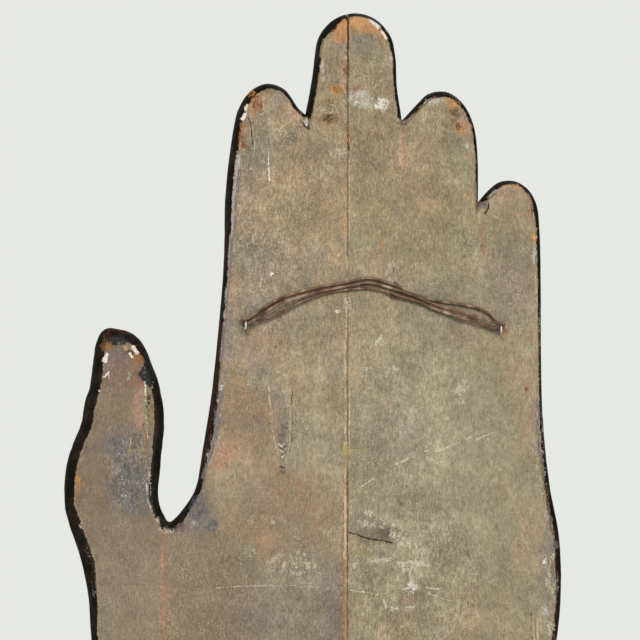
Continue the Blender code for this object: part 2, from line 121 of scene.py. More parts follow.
def add(tree, kind, *values, stops=(), **settings):
    # Adds a node with its settings. The values go to its sockets in turn, None passing one by, and a
    # value that is a node or an output is linked.
    blenderName, sockets, usual = nodeKinds.get(kind, (kind, range(len(values)), {}))
    node = tree.nodes.new(blenderName)
    for name, value in {**usual, **settings}.items():
        setattr(node, name, value)
    for socket, value in zip(sockets, values):
        if isinstance(value, bpy.types.Node):
            value = next(output for output in value.outputs if output.enabled)
        if isinstance(value, bpy.types.NodeSocket):
            tree.links.new(value, node.inputs[socket])
        elif value is not None:
            node.inputs[socket].default_value = value
    if stops:
        ramp = node.color_ramp.elements
        while len(ramp) < len(stops):
            ramp.new(1.0)
        for element, (place, colour) in zip(ramp, stops):
            element.position = place
            element.color = linear(colour)
    return node


def newMaterial(name):
    material = bpy.data.materials.new(name)
    material.use_nodes = True
    tree = material.node_tree
    tree.nodes.clear()
    return material, tree, add(tree, "ShaderNodeTexCoord").outputs["Object"]


def surfaced(tree, colour, rough, bumps=None, ior=None, specular=None, metallic=None):
    # The end of a material. Its bumps are their height, depth and strength.
    bump = add(tree, "bump", *bumps) if bumps else None
    shader = add(tree, "principled", colour, rough, bump, ior, specular, metallic)
    add(tree, "ShaderNodeOutputMaterial", shader)


def eased(share):
    share = np.clip(share, 0, 1)
    return share * share * (3 - 2 * share)


def keepOn(mesh, label, values):
    # Keeps a value, or a colour with an amount, on each point of a mesh for its materials to read.
    kind, field = ("FLOAT", "value") if values.ndim == 1 else ("FLOAT_COLOR", "color")
    layer = mesh.attributes.new(label, kind, "POINT")
    layer.data.foreach_set(field, values.astype(np.float32).ravel())


def smoothCurve(points, counts, keyed):
    # Centripetal Catmull-Rom through rows of points, its knots spaced by the first `keyed` columns.
    rows = np.array(points, float)
    rows = np.vstack((2 * rows[0] - rows[1], rows, 2 * rows[-1] - rows[-2]))
    path = []
    for i, steps in enumerate(counts):
        p0, p1, p2, p3 = rows[i:i + 4]
        t1 = math.sqrt(np.linalg.norm((p1 - p0)[:keyed]))
        t2 = t1 + math.sqrt(np.linalg.norm((p2 - p1)[:keyed]))
        t3 = t2 + math.sqrt(np.linalg.norm((p3 - p2)[:keyed]))
        for step in range(steps):
            t = t1 + (t2 - t1) * step / steps
            a1 = p0 * ((t1 - t) / t1) + p1 * (t / t1)
            a2 = p1 * ((t2 - t) / (t2 - t1)) + p2 * ((t - t1) / (t2 - t1))
            a3 = p2 * ((t3 - t) / (t3 - t2)) + p3 * ((t - t2) / (t3 - t2))
            b1 = a1 * ((t2 - t) / t2) + a2 * (t / t2)
            b2 = a2 * ((t3 - t) / (t3 - t1)) + a3 * ((t - t1) / (t3 - t1))
            path.append(b1 * ((t2 - t) / (t2 - t1)) + b2 * ((t - t1) / (t2 - t1)))
    return np.array(path + [rows[-2]])


# hanging wire and screw eyes: the route is the one of the CAD wire
eyeLook = {"thumb": (0.0674, 0.0195, 0.3956), "little": (-0.1382, 0.0195, 0.3920), "wire": 0.0018,
           "radius": 0.0045, "standoff": 0.0070, "shank": 0.0140, "neck": 0.0020,
           "ringFrom": -62, "ringTo": 245, "ringPoints": 60, "step": 0.0004, "sides": 16,
           "point": 0.15, "pointLength": 0.0030, "threadStart": 0.0028, "threadPitch": 0.00105,
           "threadHeight": 0.00022, "threadLength": 0.0095, "threadSteps": 20, "threadSides": 4}
wireLook = {"diameter": 0.0022, "layer": 0.00140, "bendGap": 0.00036, "bendTilt": 41, "bendPoints": 7,
            "littleLeg": 0.0050, "thumbLeg": 0.0020, "topRise": 0.0042, "clearance": 0.0003,
            "plies": 7, "lobes": 0.00236, "groove": 0.16, "layLength": 0.0085, "step": 0.0009,
            "unevenness": 0.00016, "waveScale": 90.0, "seed": 4.0, "length": 0.910,
            # bare and bareFade set where the painted shade on a strand's sides starts by its turn; the sunk
            # keys darken the lay's grooves with painted shade
            "bare": 0.54, "bareFade": 0.36, "sunkFrom": 0.00113, "sunkFade": 0.00018, "sunkDark": 0.7}
# each strand as (share of the way to the little finger's eye, height, layer)
strands = {
    "lowRight": ((.565, .0260, -1), (.610, .0241, -1), (.673, .0221, -1), (.752, .0167, -1),
                 (.834, .0118, -1), (.905, .0081, -1)),
    "highBack": ((.026, .0070, -1.2), (.054, .0096, -1), (.126, .0192, -1), (.216, .0258, -1),
                 (.303, .0306, -1), (.394, .0343, -1), (.480, .0354, -1), (.551, .0330, -1),
                 (.610, .0302, -1), (.673, .0268, -1), (.752, .0227, -1), (.834, .0206, -1),
                 (.905, .0179, -1), (.948, .0142, -1)),
    "lowCrossing": ((.026, .0024, -1.2), (.054, .0041, -1), (.126, .0102, -1), (.216, .0196, -1),
                    (.303, .0265, -1), (.394, .0303, -1), (.440, .0313, -.9), (.480, .0317, 0),
                    (.520, .0306, .9), (.551, .0288, 1), (.610, .0253, 1), (.673, .0216, 1),
                    (.752, .0151, 1), (.834, .0098, 1), (.905, .0057, 1)),
    "middleFront": ((.026, .0034, 1.2), (.054, .0070, 1), (.126, .0172, 1), (.216, .0238, 1),
                    (.303, .0287, 1), (.394, .0328, 1), (.480, .0360, 1), (.551, .0330, 1),
                    (.610, .0293, 1), (.673, .0252, 1), (.752, .0187, 1), (.834, .0142, 1),
                    (.905, .0105, 1)),
    "highLeft": ((.026, .0080, 1.2), (.054, .0120, 1), (.126, .0212, 1), (.216, .0279, 1),
                 (.303, .0322, 1), (.394, .0361, 1), (.478, .0397, 1), (.551, .0367, 1),
                 (.612, .0326, 1)),
}


def hingeFrame(place):
    along = (Vector(eyeLook["thumb"]) - Vector(eyeLook["little"])).normalized()
    out = Vector((0, 1, 0))
    turned = Matrix((along, out, along.cross(out))).transposed().to_4x4()
    turned.translation = place
    return turned


def returnBend(eyeX, outward, layer, innerFirst, leg, rise=0.0):
    # One leg through the ring, half a circle round its wire, and one leg outside it.
    bend = eyeLook["wire"] / 2 + wireLook["diameter"] / 2 + wireLook["bendGap"]
    tilt = math.radians(wireLook["bendTilt"])
    direction = Vector((0, layer * math.sin(tilt), math.cos(tilt)))
    legs = Vector((-outward, 0, 0))
    ring = eyeLook["radius"]
    points = [legs * leg + direction * (ring - bend)]
    last = wireLook["bendPoints"] - 1
    for i in range(last + 1):
        angle = math.pi * (i / last - 0.5)
        points.append(direction * (ring + bend * math.sin(angle)) - legs * bend * math.cos(angle))
    points.append(legs * leg + direction * (ring + bend) + Vector((0, 0, rise)))
    if not innerFirst:
        points.reverse()
    return [tuple(point + Vector((eyeX, 0, 0))) for point in points]


def wireRoute():
    span = (Vector(eyeLook["thumb"]) - Vector(eyeLook["little"])).length
    lay = {name: [(-share * span, layer * wireLook["layer"], height) for share, height, layer in rows]
           for name, rows in strands.items()}
    little, thumb = wireLook["littleLeg"], wireLook["thumbLeg"]
    route = lay["lowRight"] + returnBend(-span, -1, -1, True, little, wireLook["topRise"])
    route += lay["highBack"][::-1] + returnBend(0, 1, -1, False, thumb)
    route += lay["lowCrossing"] + returnBend(-span, -1, 1, True, little)
    route += lay["middleFront"][::-1] + returnBend(0, 1, 1, True, thumb) + lay["highLeft"]
    path = smoothCurve(route, [8] * (len(route) - 1), 3)
    kept = [path[0]]
    for point in path[1:-1]:
        if np.linalg.norm(point - kept[-1]) > wireLook["step"] * 0.6:
            kept.append(point)
    path = kept + [path[-1]]
    play = eyeLook["standoff"] - wireLook["layer"] - wireLook["diameter"] / 2 - wireLook["clearance"]
    lean = math.asin(play / max(height for share, height, layer in strands["highBack"]))
    placed = hingeFrame(eyeLook["thumb"]) @ Matrix.Rotation(lean, 4, "X")
    return [placed @ Vector(point) for point in path]


def newTree(name, **sizes):
    # A geometry tree with a geometry input and output, and one named input of its kind for each size.
    tree = bpy.data.node_groups.new(name, "GeometryNodeTree")
    for label, kind in {"Geometry": "Geometry", **sizes}.items():
        tree.interface.new_socket(label, in_out="INPUT", socket_type="NodeSocket" + kind)
    tree.interface.new_socket("Geometry", in_out="OUTPUT", socket_type="NodeSocketGeometry")
    return tree, add(tree, "NodeGroupInput").outputs


def finishTree(tree, shape, material):
    real = add(tree, "GeometryNodeRealizeInstances", add(tree, "GeometryNodeSetShadeSmooth", shape))
    add(tree, "NodeGroupOutput", add(tree, "GeometryNodeSetMaterial", real, None, material))
    return tree


def grown(route, tree, name, **values):
    # Runs the tree on a route and keeps the result as a plain mesh.
    modifier = route.modifiers.new("grow", "NODES")
    modifier.node_group = tree
    for item in tree.interface.items_tree:
        if item.in_out == "INPUT" and item.name in values:
            modifier[item.identifier] = values[item.name]
    mesh = bpy.data.meshes.new_from_object(route.evaluated_get(bpy.context.evaluated_depsgraph_get()))
    route.modifiers.remove(modifier)
    bpy.data.objects.remove(route)
    mesh.name = name
    return inScene(name, mesh)


def polyCurve(name, line):
    curve = bpy.data.curves.new(name, "CURVE")
    curve.dimensions = "3D"
    drawn = curve.splines.new("POLY")
    drawn.points.add(len(line) - 1)
    for point, (place, radius) in zip(drawn.points, line):
        point.co = (*place, 1)
        point.radius = radius
    return inScene(name, curve)


def twistedWireTree():
    # A lobed outline swept along the route, turned once for each lay of its plies.
    tree, given = newTree("twistedWire", Diameter="Float", Plies="Int", Groove="Float", LayLength="Float",
                          Step="Float", Unevenness="Float", Seed="Float", Material="Material")
    sampled = add(tree, "GeometryNodeResampleCurve", given["Geometry"], None, None, given["Step"],
                  mode="LENGTH")
    place = add(tree, "GeometryNodeInputPosition")
    rough = add(tree, "ShaderNodeTexNoise", place, given["Seed"], wireLook["waveScale"], 1.0,
                noise_dimensions="4D")
    centred = add(tree, "ShaderNodeVectorMath", rough.outputs["Color"], (0.5, 0.5, 0.5),
                  operation="SUBTRACT")
    shaken = add(tree, "scaled", centred, given["Unevenness"])
    bent = add(tree, "GeometryNodeSetPosition", sampled, None, None, shaken)
    spline = add(tree, "GeometryNodeSplineParameter").outputs
    turns = add(tree, "DIVIDE", spline["Length"], given["LayLength"])
    angle = add(tree, "MULTIPLY", turns, 2 * math.pi)
    twisted = add(tree, "GeometryNodeSetCurveTilt", bent, None, angle)
    ring = add(tree, "circle", add(tree, "MULTIPLY", given["Plies"], 4.0), 1.0)
    lobes = add(tree, "MULTIPLY", spline["Factor"], given["Plies"])
    wave = add(tree, "COSINE", add(tree, "MULTIPLY", lobes, 2 * math.pi))
    dip = add(tree, "range", wave, 1.0, -1.0, 0.0, given["Groove"])
    wide = add(tree, "MULTIPLY", add(tree, "SUBTRACT", 1.0, dip), given["Diameter"])
    drawn = add(tree, "scaled", place, add(tree, "MULTIPLY", wide, 0.5))
    profile = add(tree, "GeometryNodeSetPosition", ring, None, drawn)
    tube = add(tree, "GeometryNodeCurveToMesh", twisted, profile, None, True)
    return finishTree(tree, tube, given["Material"])


def rustedWireMaterial():
    # Tinned picture wire gone to brown rust: dull, a few worn glints; the dark on its sides and in the lay's
    # grooves is painted shade.
    material, tree, place = newMaterial("rustedPictureWire")
    grit = add(tree, "noise", place, 1500.0, 2.0)
    rust = add(tree, "ramp", add(tree, "noise", place, 130.0, 3.0), stops=(
        (0.30, "#4f3626"), (0.45, "#75553d"), (0.57, "#8f6f55"), (0.72, "#c0a88e")))
    pitted = add(tree, "tint", 1.0, rust, add(tree, "range", grit, 0.35, 0.65, 0.65, 1.2))
    paintedShade = add(tree, "ShaderNodeAttribute", attribute_name="paintedShade").outputs["Fac"]
    # painted shade in dark brown over the strands' sides and grooves
    shaded = add(tree, "mix", paintedShade, pitted, linear("#1a0f06"))
    surfaced(tree, shaded, 0.6, (grit, 0.0001, 0.6), metallic=0.12)
    return material


def paintedShadeOnStrands(mesh, centreline):
    # Painted shade: the sides of each strand, the side towards the board and the lay's grooves go dark; the
    # outer crest keeps its brown.
    look = wireLook
    spots = np.array([vertex.co[:] for vertex in mesh.vertices])
    turned = np.array([vertex.normal.y for vertex in mesh.vertices])
    line = np.array([point[:] for point in centreline])
    far = np.array([np.sqrt(((line - spot) ** 2).sum(axis=1).min()) for spot in spots])
    sunk = np.clip((look["sunkFrom"] - far) / look["sunkFade"], 0, 1) * look["sunkDark"]
    keepOn(mesh, "paintedShade", np.maximum(eased((look["bare"] - turned) / look["bareFade"]), sunk))


def makeWire():
    look = wireLook
    centreline = wireRoute()
    route = polyCurve("wireRoute", [(point, 1.0) for point in centreline])
    piece = grown(route, twistedWireTree(), "braidedHangingWire", Diameter=look["lobes"],
                  Plies=look["plies"], Groove=look["groove"], LayLength=look["layLength"],
                  Step=look["step"], Unevenness=look["unevenness"], Seed=look["seed"],
                  Material=rustedWireMaterial())
    paintedShadeOnStrands(piece.data, centreline)
    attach(piece, "wire")
    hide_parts("hanging_wire")
    return piece


hangingWire = makeWire()
print("hanging wire:", len(hangingWire.data.polygons), "faces")


# the two boards
boardLook = {"half": 0.0125, "rollArc": 64, "bands": 5, "edgeStep": 0.0020, "faceStep": 0.0025,
             "frontStep": 0.0034, "seamX": -0.0160, "fitGap": 0.0003, "crackFoot": 0.6080,
             "crackWidth": 0.0016, "tipZ": 0.6458, "boreRadius": 0.00505, "boreDepth": 0.0193,
             "boreHeights": (0.075, 0.220, 0.365, 0.510), "pilotRadius": 0.0012, "pilotDepth": 0.0143,
             "knifeCut": 0.00012, "thumbKnifeCut": 0.00055, "cutLength": 0.0095, "cutWidth": 0.0075,
             "cutReach": 0.75, "cutWrap": 1.25, "thumbFrom": (0.112, 0.225), "thumbFade": (0.012, 0.02),
             "unevenness": 0.00008, "ragged": 0.00022, "arrisDrop": 0.00022, "rimRows": (0.0010, 0.0026),
             "seamChamfer": 0.00022, "seamStep": 0.0018, "seamRow": 0.0008, "seamGrid": 0.0050,
             "swell": 0.00010, "sawnBelow": 0.0015, "cornerAngle": 20, "sharpAngle": 40,
             "levelSlack": 2e-5, "seamSlack": 4e-5, "meshCell": 0.0007, "markCell": 0.00042,
             "rimClear": 0.0007, "markClear": 0.0006, "gridClear": 0.0018, "pilotClear": 0.0005,
             "seamClear": 0.0015, "boreClear": 0.0010, "faceFrom": 0.97, "swellFrom": 0.9,
             "seenFrom": -0.004, "seamNudge": 0.0012, "seamBlack": -6.0, "blackWander": 0.5, "lively": 0.80}
# scale and seed of each unevenness
roughKinds = {"edge": (160, 3), "rim": (260, 9), "seam": (240, 5), "face": (42, 21), "black": (55, 31)}


def seamAt(z, side):
    # The seam's X on one board: the joint has opened towards the fingertip.
    look = boardLook
    top = look["tipZ"] + 2 * look["half"]
    opened = look["crackWidth"] / 2 * (top - look["crackFoot"]) / (look["tipZ"] - look["crackFoot"])
    share = np.maximum(0.0, (z - look["crackFoot"]) / (top - look["crackFoot"]))
    return look["seamX"] + side * (look["fitGap"] / 2 + share * (opened - look["fitGap"] / 2))


def cadLoop(shape, side, level):
    # The outline of a board at one depth, read off the frame from the seam's top round to its foot.
    def onSeam(v):
        return abs(v.co.x - seamAt(v.co.z, side)) < boardLook["seamSlack"]

    links = {}
    for edge in shape.edges:
        ends = tuple(edge.verts)
        if any(abs(v.co.y - level) > boardLook["levelSlack"] for v in ends):
            continue
        if all(onSeam(v) for v in ends):
            continue
        if level and sum(abs(face.normal.y) > 0.999 for face in edge.link_faces) != 1:
            continue
        for here, there in (ends, ends[::-1]):
            links.setdefault(here, []).append(there)
    path = [max(filter(onSeam, links), key=lambda v: v.co.z)]
    before = None
    while True:
        following = [v for v in links[path[-1]] if v is not before]
        if not following or (len(path) > 1 and onSeam(path[-1])):
            return [(v.co.x, v.co.z) for v in path]
        before = path[-1]
        path.append(following[0])


def boardOutline(node, side):
    # Rows of X and Z at mid thickness and at the face, smoothed between the sharp corners.
    shape = bmesh.new()
    shape.from_mesh(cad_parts[node].data)
    bmesh.ops.remove_doubles(shape, verts=shape.verts, dist=1e-5)
    outer = cadLoop(shape, side, 0.0)
    face = cadLoop(shape, side, boardLook["half"])
    shape.free()
    outer.append((face[-1][0], 0.0))
    face = [face[0]] + face[len(face) - len(outer) + 1:]
    rows = np.hstack((np.array(outer), np.array(face)))
    along = np.diff(rows[:, :2], axis=0)
    heading = np.arctan2(along[:, 1], along[:, 0])
    turned = np.abs((np.diff(heading) + math.pi) % (2 * math.pi) - math.pi)
    sharp = np.nonzero(turned > math.radians(boardLook["cornerAngle"]))[0]
    corners = [0] + [i + 1 for i in sharp] + [len(rows) - 1]
    fine = []
    for first, last in zip(corners, corners[1:]):
        lengths = np.linalg.norm(along[first:last], axis=1)
        counts = [max(1, math.ceil(length / boardLook["edgeStep"])) for length in lengths]
        fine.append(smoothCurve(rows[first:last + 1], counts, 2)[:-1])
    return np.vstack(fine + [rows[-1:]])


def roughness(points, kind):
    scale, seed = roughKinds[kind]
    return np.array([noise.noise(Vector(p) * scale + Vector((seed, 0, 0))) for p in points])


def sideways(line):
    # Vectors of length 1 that point to the left of a line, at each of its points.
    along = np.gradient(line, axis=0)
    along /= np.maximum(np.linalg.norm(along, axis=1), 1e-9)[:, None]
    return np.column_stack((-along[:, 1], along[:, 0]))


def edgeRings(rows, side):
    # The rolled edge as rings from the front face to the back, shaved by knife cuts.
    look = boardLook
    arc = math.radians(look["rollArc"])
    outward = side * sideways(rows[:, :2])
    travelled = np.concatenate(([0], np.cumsum(np.linalg.norm(np.diff(rows[:, :2], axis=0), axis=1))))
    onThumb = np.clip((rows[:, :2] - look["thumbFrom"]) / look["thumbFade"], 0, 1).prod(axis=1)
    sawn = rows[:, 1] < look["sawnBelow"]
    depth = look["knifeCut"] + onThumb * (look["thumbKnifeCut"] - look["knifeCut"])
    rings = []
    for step in range(-look["bands"], look["bands"] + 1):
        atFace = abs(step) == look["bands"]
        angle = arc * step / look["bands"]
        y = look["half"] * math.sin(angle) / math.sin(arc)
        share = (1 - math.cos(angle)) / (1 - math.cos(arc))
        base = rows[:, :2] + (rows[:, 2:] - rows[:, :2]) * share
        across = y * look["cutWrap"] / look["cutWidth"] + side * 7
        cells = [noise.voronoi(Vector((s / look["cutLength"], across, 0)))[0][0] for s in travelled]
        cuts = np.maximum(0, 1 - (np.array(cells) / look["cutReach"]) ** 2)
        spots = np.column_stack((base[:, 0], np.full(len(base), y), base[:, 1]))
        inward = depth * cuts + look["unevenness"] * (1 + roughness(spots, "edge"))
        if atFace:
            inward = inward * 0.5 + look["ragged"] * (1 + roughness(spots, "rim"))
        inward[sawn] = 0
        moved = base - outward * (inward * math.cos(angle))[:, None]
        moved[:, 1] = np.where(sawn, rows[:, 1], np.maximum(moved[:, 1], 0))
        moved[0, 0], moved[-1, 0] = seamAt(moved[0, 1], side), seamAt(0.0, side)
        drop = np.where(sawn, 0, look["arrisDrop"] if atFace else inward * abs(math.sin(angle)))
        rings.append(np.column_stack((moved[:, 0], y - np.sign(step) * drop, moved[:, 1])))
    return np.array(rings)


def insideOf(points, loop):
    inside = np.zeros(len(points), bool)
    for (x0, z0), (x1, z1) in zip(loop, np.roll(loop, -1, axis=0)):
        if z0 == z1:
            continue
        crossed = (z0 > points[:, 1]) != (z1 > points[:, 1])
        inside ^= crossed & (points[:, 0] < x0 + (x1 - x0) * (points[:, 1] - z0) / (z1 - z0))
    return inside


def distanceTo(points, line):
    best = np.full(len(points), 9.0)
    for start, end in zip(line, line[1:]):
        edge = end - start
        share = np.clip((points - start) @ edge / max(edge @ edge, 1e-12), 0, 1)
        best = np.minimum(best, np.linalg.norm(points - start - share[:, None] * edge, axis=1))
    return best


def gridOver(loop, step, seed):
    # Staggered points over a face, each a little off its place so that the mesh has no grain.
    low, high = loop.min(axis=0), loop.max(axis=0)
    xs = np.arange(low[0], high[0], step)
    zs = np.arange(low[1], high[1], step * 0.866)
    grid = np.array([(x + (step / 2 if row % 2 else 0), z) for row, z in enumerate(zs) for x in xs])
    shake = np.random.default_rng(seed).uniform(-0.18, 0.18, grid.shape) * step
    return grid + shake


def thinned(points, cell):
    keys = np.round(points / cell).astype(int)
    kept = np.unique(keys, axis=0, return_index=True)[1]
    return points[np.sort(kept)]


def triangles(border, inner, holes):
    # Triangles inside a closed border, with round holes left open. All in millimetres while it works.
    points = np.vstack([border] + holes + [inner]) * 1000
    loops, start = [], len(border)
    edges = []
    for hole in holes:
        ring = list(range(start, start + len(hole)))
        edges += list(zip(ring, ring[1:] + ring[:1]))
        start += len(hole)
    flat = [Vector(point) for point in points]
    made = geometry.delaunay_2d_cdt(flat, edges, [list(range(len(border)))], 1, 1e-5, False)
    if len(made[0]) != len(points):
        print("note: the triangulation has", len(made[0]), "points of", len(points))
    corners = np.array([v[:] for v in made[0]]) / 1000
    shapes = corners[np.array(made[2])]
    centres = shapes.mean(axis=1)
    first, second = shapes[:, 1] - shapes[:, 0], shapes[:, 2] - shapes[:, 0]
    areas = np.abs(first[:, 0] * second[:, 1] - first[:, 1] * second[:, 0]) / 2
    wanted = insideOf(centres, border) & (areas > 1e-10)
    for hole in holes:
        middle = hole.mean(axis=0)
        wanted &= np.linalg.norm(centres - middle, axis=1) > np.linalg.norm(hole[0] - middle) * 0.98
    return corners, [tuple(face) for face, keep in zip(made[2], wanted) if keep]


# what time has left on the back, with painted shade and a painted highlight among the marks. Places are in
# picture units of 0.8 mm, carried onto the board.
# wander holds size, reach and seed for each of its three sizes
paintLook = {"wander": ((13.0, 4.6, 2.0), (5.0, 2.4, 8.0), (2.2, 1.3, 5.0)), "strokeWander": 0.22,
             "smallPatch": 9, "patchEdge": 0.17, "strokeEdge": 0.62, "haloStrength": 0.5,
             "haloSoft": 3.5, "haloReach": 1.5, "hollowSteepness": 3.2, "finest": 1.0,
             "coarsest": 2.2, "strokeStep": 1.5, "strokeGap": 0.9}
palette = {"bareWood": "#b98a60", "bareBright": "#c9986a", "bareDark": "#93683f", "orange": "#b8824e",
           "tan": "#ab8d6d", "brown": "#6b503a", "darkBrown": "#3f2f22", "black": "#1c1915",
           "navy": "#2b2c2c", "white": "#e8dfd3", "greyWhite": "#bdb3a4", "cream": "#bdb49c",
           "greenWhite": "#a9a893", "blueGrey": "#74726e", "bluish": "#646569", "yellow": "#9a8b60",
           "olive": "#857a5c", "pink": "#a98a75", "run": "#a2735d", "paleRun": "#b8977c",
           "red": "#94604a", "redBrown": "#84543c", "purple": "#6d5f5e", "purpleGrey": "#80746d",
           "ochre": "#96825c", "palePaint": "#b3a78c", "green": "#8a8b6c", "shadow": "#4f4233",
           "rustBlack": "#3a241a", "thumbPaint": "#7d6c5b", "lowPaint": "#83735f",
           "greyPaint": "#8c8273", "fingerPaint": "#8d7a61", "seamWood": "#a5866a",
           "seamCream": "#c8b394", "seamYellow": "#ab9a6d",
           "chalk": "#c8c2ac", "chipTan": "#bf956d", "khaki": "#9b9078", "greenGrey": "#9a967f",
           "violetWhite": "#aca19d", "edgeBrown": "#70614d"}
# crisp flakes and paint spots: colour, strength, left, top, right, bottom
flakes = (
    # index finger
    ("orange", .50, 248, 93, 258, 101), ("darkBrown", .52, 252, 95, 258, 99),
    ("redBrown", .54, 251, 102, 261, 109), ("bareDark", .60, 239, 124, 243, 137),
    ("redBrown", .54, 240, 138, 247, 149), ("greyWhite", .62, 304, 117, 309, 124),
    ("purple", .60, 304, 122, 310, 128), ("darkBrown", .58, 305, 125, 309, 130),
    # middle finger
    ("bareWood", .82, 334, 16, 349, 36), ("bareWood", .60, 330, 26, 343, 43),
    ("bareBright", .95, 350, 13, 372, 28), ("bareWood", .70, 350, 20, 385, 33),
    ("bareWood", .52, 379, 28, 390, 40), ("greyWhite", .54, 320, 66, 324, 82),
    ("redBrown", .44, 344, 66, 348, 82), ("bareDark", .50, 333, 86, 341, 92),
    ("darkBrown", .44, 324, 116, 334, 123), ("greyWhite", .54, 351, 92, 372, 106),
    ("white", .56, 376, 98, 389, 110), ("white", .58, 355, 100, 361, 104),
    # ring finger
    ("bareBright", .50, 449, 97, 458, 105), ("orange", .48, 454, 101, 462, 109),
    ("brown", .54, 450, 107, 460, 116), ("brown", .52, 456, 123, 461, 129),
    ("orange", .46, 459, 122, 471, 136), ("pink", .50, 462, 121, 470, 131),
    ("greyWhite", .60, 465, 143, 469, 147), ("brown", .52, 427, 94, 437, 100),
    ("greyWhite", .50, 425, 100, 440, 106),
    # little finger
    ("bareWood", .62, 504, 183, 509, 188), ("bareBright", .66, 514, 183, 522, 190),
    ("pink", .50, 487, 188, 506, 197), ("orange", .56, 523, 213, 530, 217),
    ("bareBright", .92, 532, 229, 536, 245), ("greyWhite", .56, 532, 246, 536, 257),
    ("pink", .46, 526, 196, 532, 214), ("shadow", .50, 475, 203, 479, 207),
    # thumb
    ("rustBlack", .62, 101, 325, 127, 339), ("black", .74, 108, 331, 122, 338),
    ("navy", .70, 110, 336, 128, 346),
    ("brown", .62, 100, 335, 107, 350), ("bareDark", .62, 104, 342, 111, 350),
    ("tan", .66, 123, 344, 131, 351), ("bareDark", .74, 132, 353, 140, 362),
    ("darkBrown", .56, 128, 349, 133, 356), ("navy", .62, 141, 353, 155, 386),
    ("olive", .62, 103, 381, 109, 387), ("cream", .50, 127, 373, 131, 380),
    ("pink", .60, 134, 390, 144, 402), ("pink", .56, 134, 407, 142, 425),
    ("palePaint", .42, 145, 380, 153, 400), ("ochre", .46, 145, 398, 153, 420),
    ("shadow", .50, 146, 394, 152, 414), ("yellow", .58, 129, 448, 136, 453),
    ("yellow", .50, 114, 502, 121, 508), ("orange", .70, 75.5, 475, 79, 489),
    ("greyWhite", .50, 78, 521, 83, 528), ("purpleGrey", .40, 84, 532, 97, 561),
    ("purpleGrey", .38, 91, 556, 99, 592), ("greyWhite", .46, 147, 470, 152, 500),
    ("greyWhite", .50, 161, 529, 174, 533), ("purple", .62, 175, 521, 186, 531),
    ("greyWhite", .58, 177, 524, 181, 528), ("greyWhite", .42, 188, 519, 198, 525),
    # palm, thumb side
    ("purpleGrey", .54, 216, 388, 223, 410), ("blueGrey", .50, 214, 408, 220, 436),
    ("chalk", .62, 218.4, 384, 221.6, 389.6), ("greyWhite", .48, 217, 408, 220, 418),
    ("greyWhite", .36, 209, 440, 215, 462), ("olive", .52, 203, 498, 212, 512),
    ("bluish", .50, 190, 498, 206, 520), ("bluish", .52, 206, 521, 216, 531),
    ("ochre", .42, 229, 360, 240, 378), ("cream", .46, 268, 552, 316, 576),
    ("greenWhite", .52, 243, 546, 254, 557), ("cream", .42, 249, 517, 288, 523),
    ("purple", .46, 279, 426, 287, 446),
    ("white", .54, 270.5, 272.5, 273.5, 275.5),
    ("cream", .40, 256, 276, 270, 290), ("cream", .38, 236, 236, 262, 262),
    ("cream", .36, 240, 205, 256, 224), ("palePaint", .44, 299, 161, 334, 183),
    ("greyWhite", .44, 332, 149, 346, 161), ("white", .50, 337, 310, 340.5, 313),
    ("greyWhite", .44, 338, 296, 352, 309), ("seamYellow", .98, 342.6, 444, 350.6, 458),
    ("seamYellow", .60, 343, 456, 350, 470),
    # palm, little finger side
    ("bareWood", .56, 380, 240, 384, 248), ("greyWhite", .46, 386, 265, 395, 286),
    ("chalk", .54, 375, 335, 383, 345), ("chalk", .44, 361, 368, 372, 378),
    ("chalk", .42, 384, 366, 395, 376), ("chalk", .44, 397, 426, 411, 436),
    ("pink", .58, 524, 383, 530.6, 388.6), ("red", .70, 525.4, 387, 529.4, 395.6),
    ("chalk", .50, 473, 431, 490, 440), ("chalk", .42, 424, 441, 440, 452),
    ("chalk", .45, 454, 381, 467, 403), ("chipTan", .98, 502.6, 327.6, 508.6, 336.6),
    ("pink", .42, 368, 404, 387, 410), ("purple", .46, 378, 527, 392, 538),
    ("chalk", .60, 363, 509, 373, 516), ("cream", .50, 357, 520, 371, 528),
    ("yellow", .50, 358, 551, 370, 556), ("cream", .58, 350, 561, 357, 568),
    ("chalk", .46, 371, 557, 392, 562), ("chalk", .445, 396, 536, 416, 550),
    ("chalk", .36, 372, 578, 392, 590),
    ("chalk", .43, 408, 543, 432, 559), ("chalk", .49, 399, 560, 433, 568),
    ("chalk", .41, 403, 566, 420, 584),
    ("green", .46, 388, 567, 403, 577), ("greyWhite", .44, 403, 570, 424, 584),
    ("white", .56, 408, 584, 421, 593), ("cream", .42, 388, 604, 418, 611),
    ("pink", .50, 403, 597, 414, 606), ("greenWhite", .42, 436, 612, 450, 640),
    ("cream", .48, 374, 516, 386, 526), ("chalk", .46, 388, 524, 404, 540),
    ("greyWhite", .46, 544, 508, 549, 530),
    ("cream", .38, 546, 526, 551, 540), ("purple", .64, 551, 537, 557, 546),
    ("white", .60, 554.5, 543.5, 558, 548), ("white", .56, 542, 555, 548, 562),
    ("cream", .46, 545, 556, 554, 572), ("cream", .50, 547, 574, 557, 600),
    ("greyWhite", .47, 540, 603, 553, 613), ("tan", .44, 542, 620, 554, 641),
    ("cream", .47, 542, 614, 554, 641),
    ("greyWhite", .38, 536, 400, 545, 500), ("pink", .38, 535, 312, 541, 400),
)
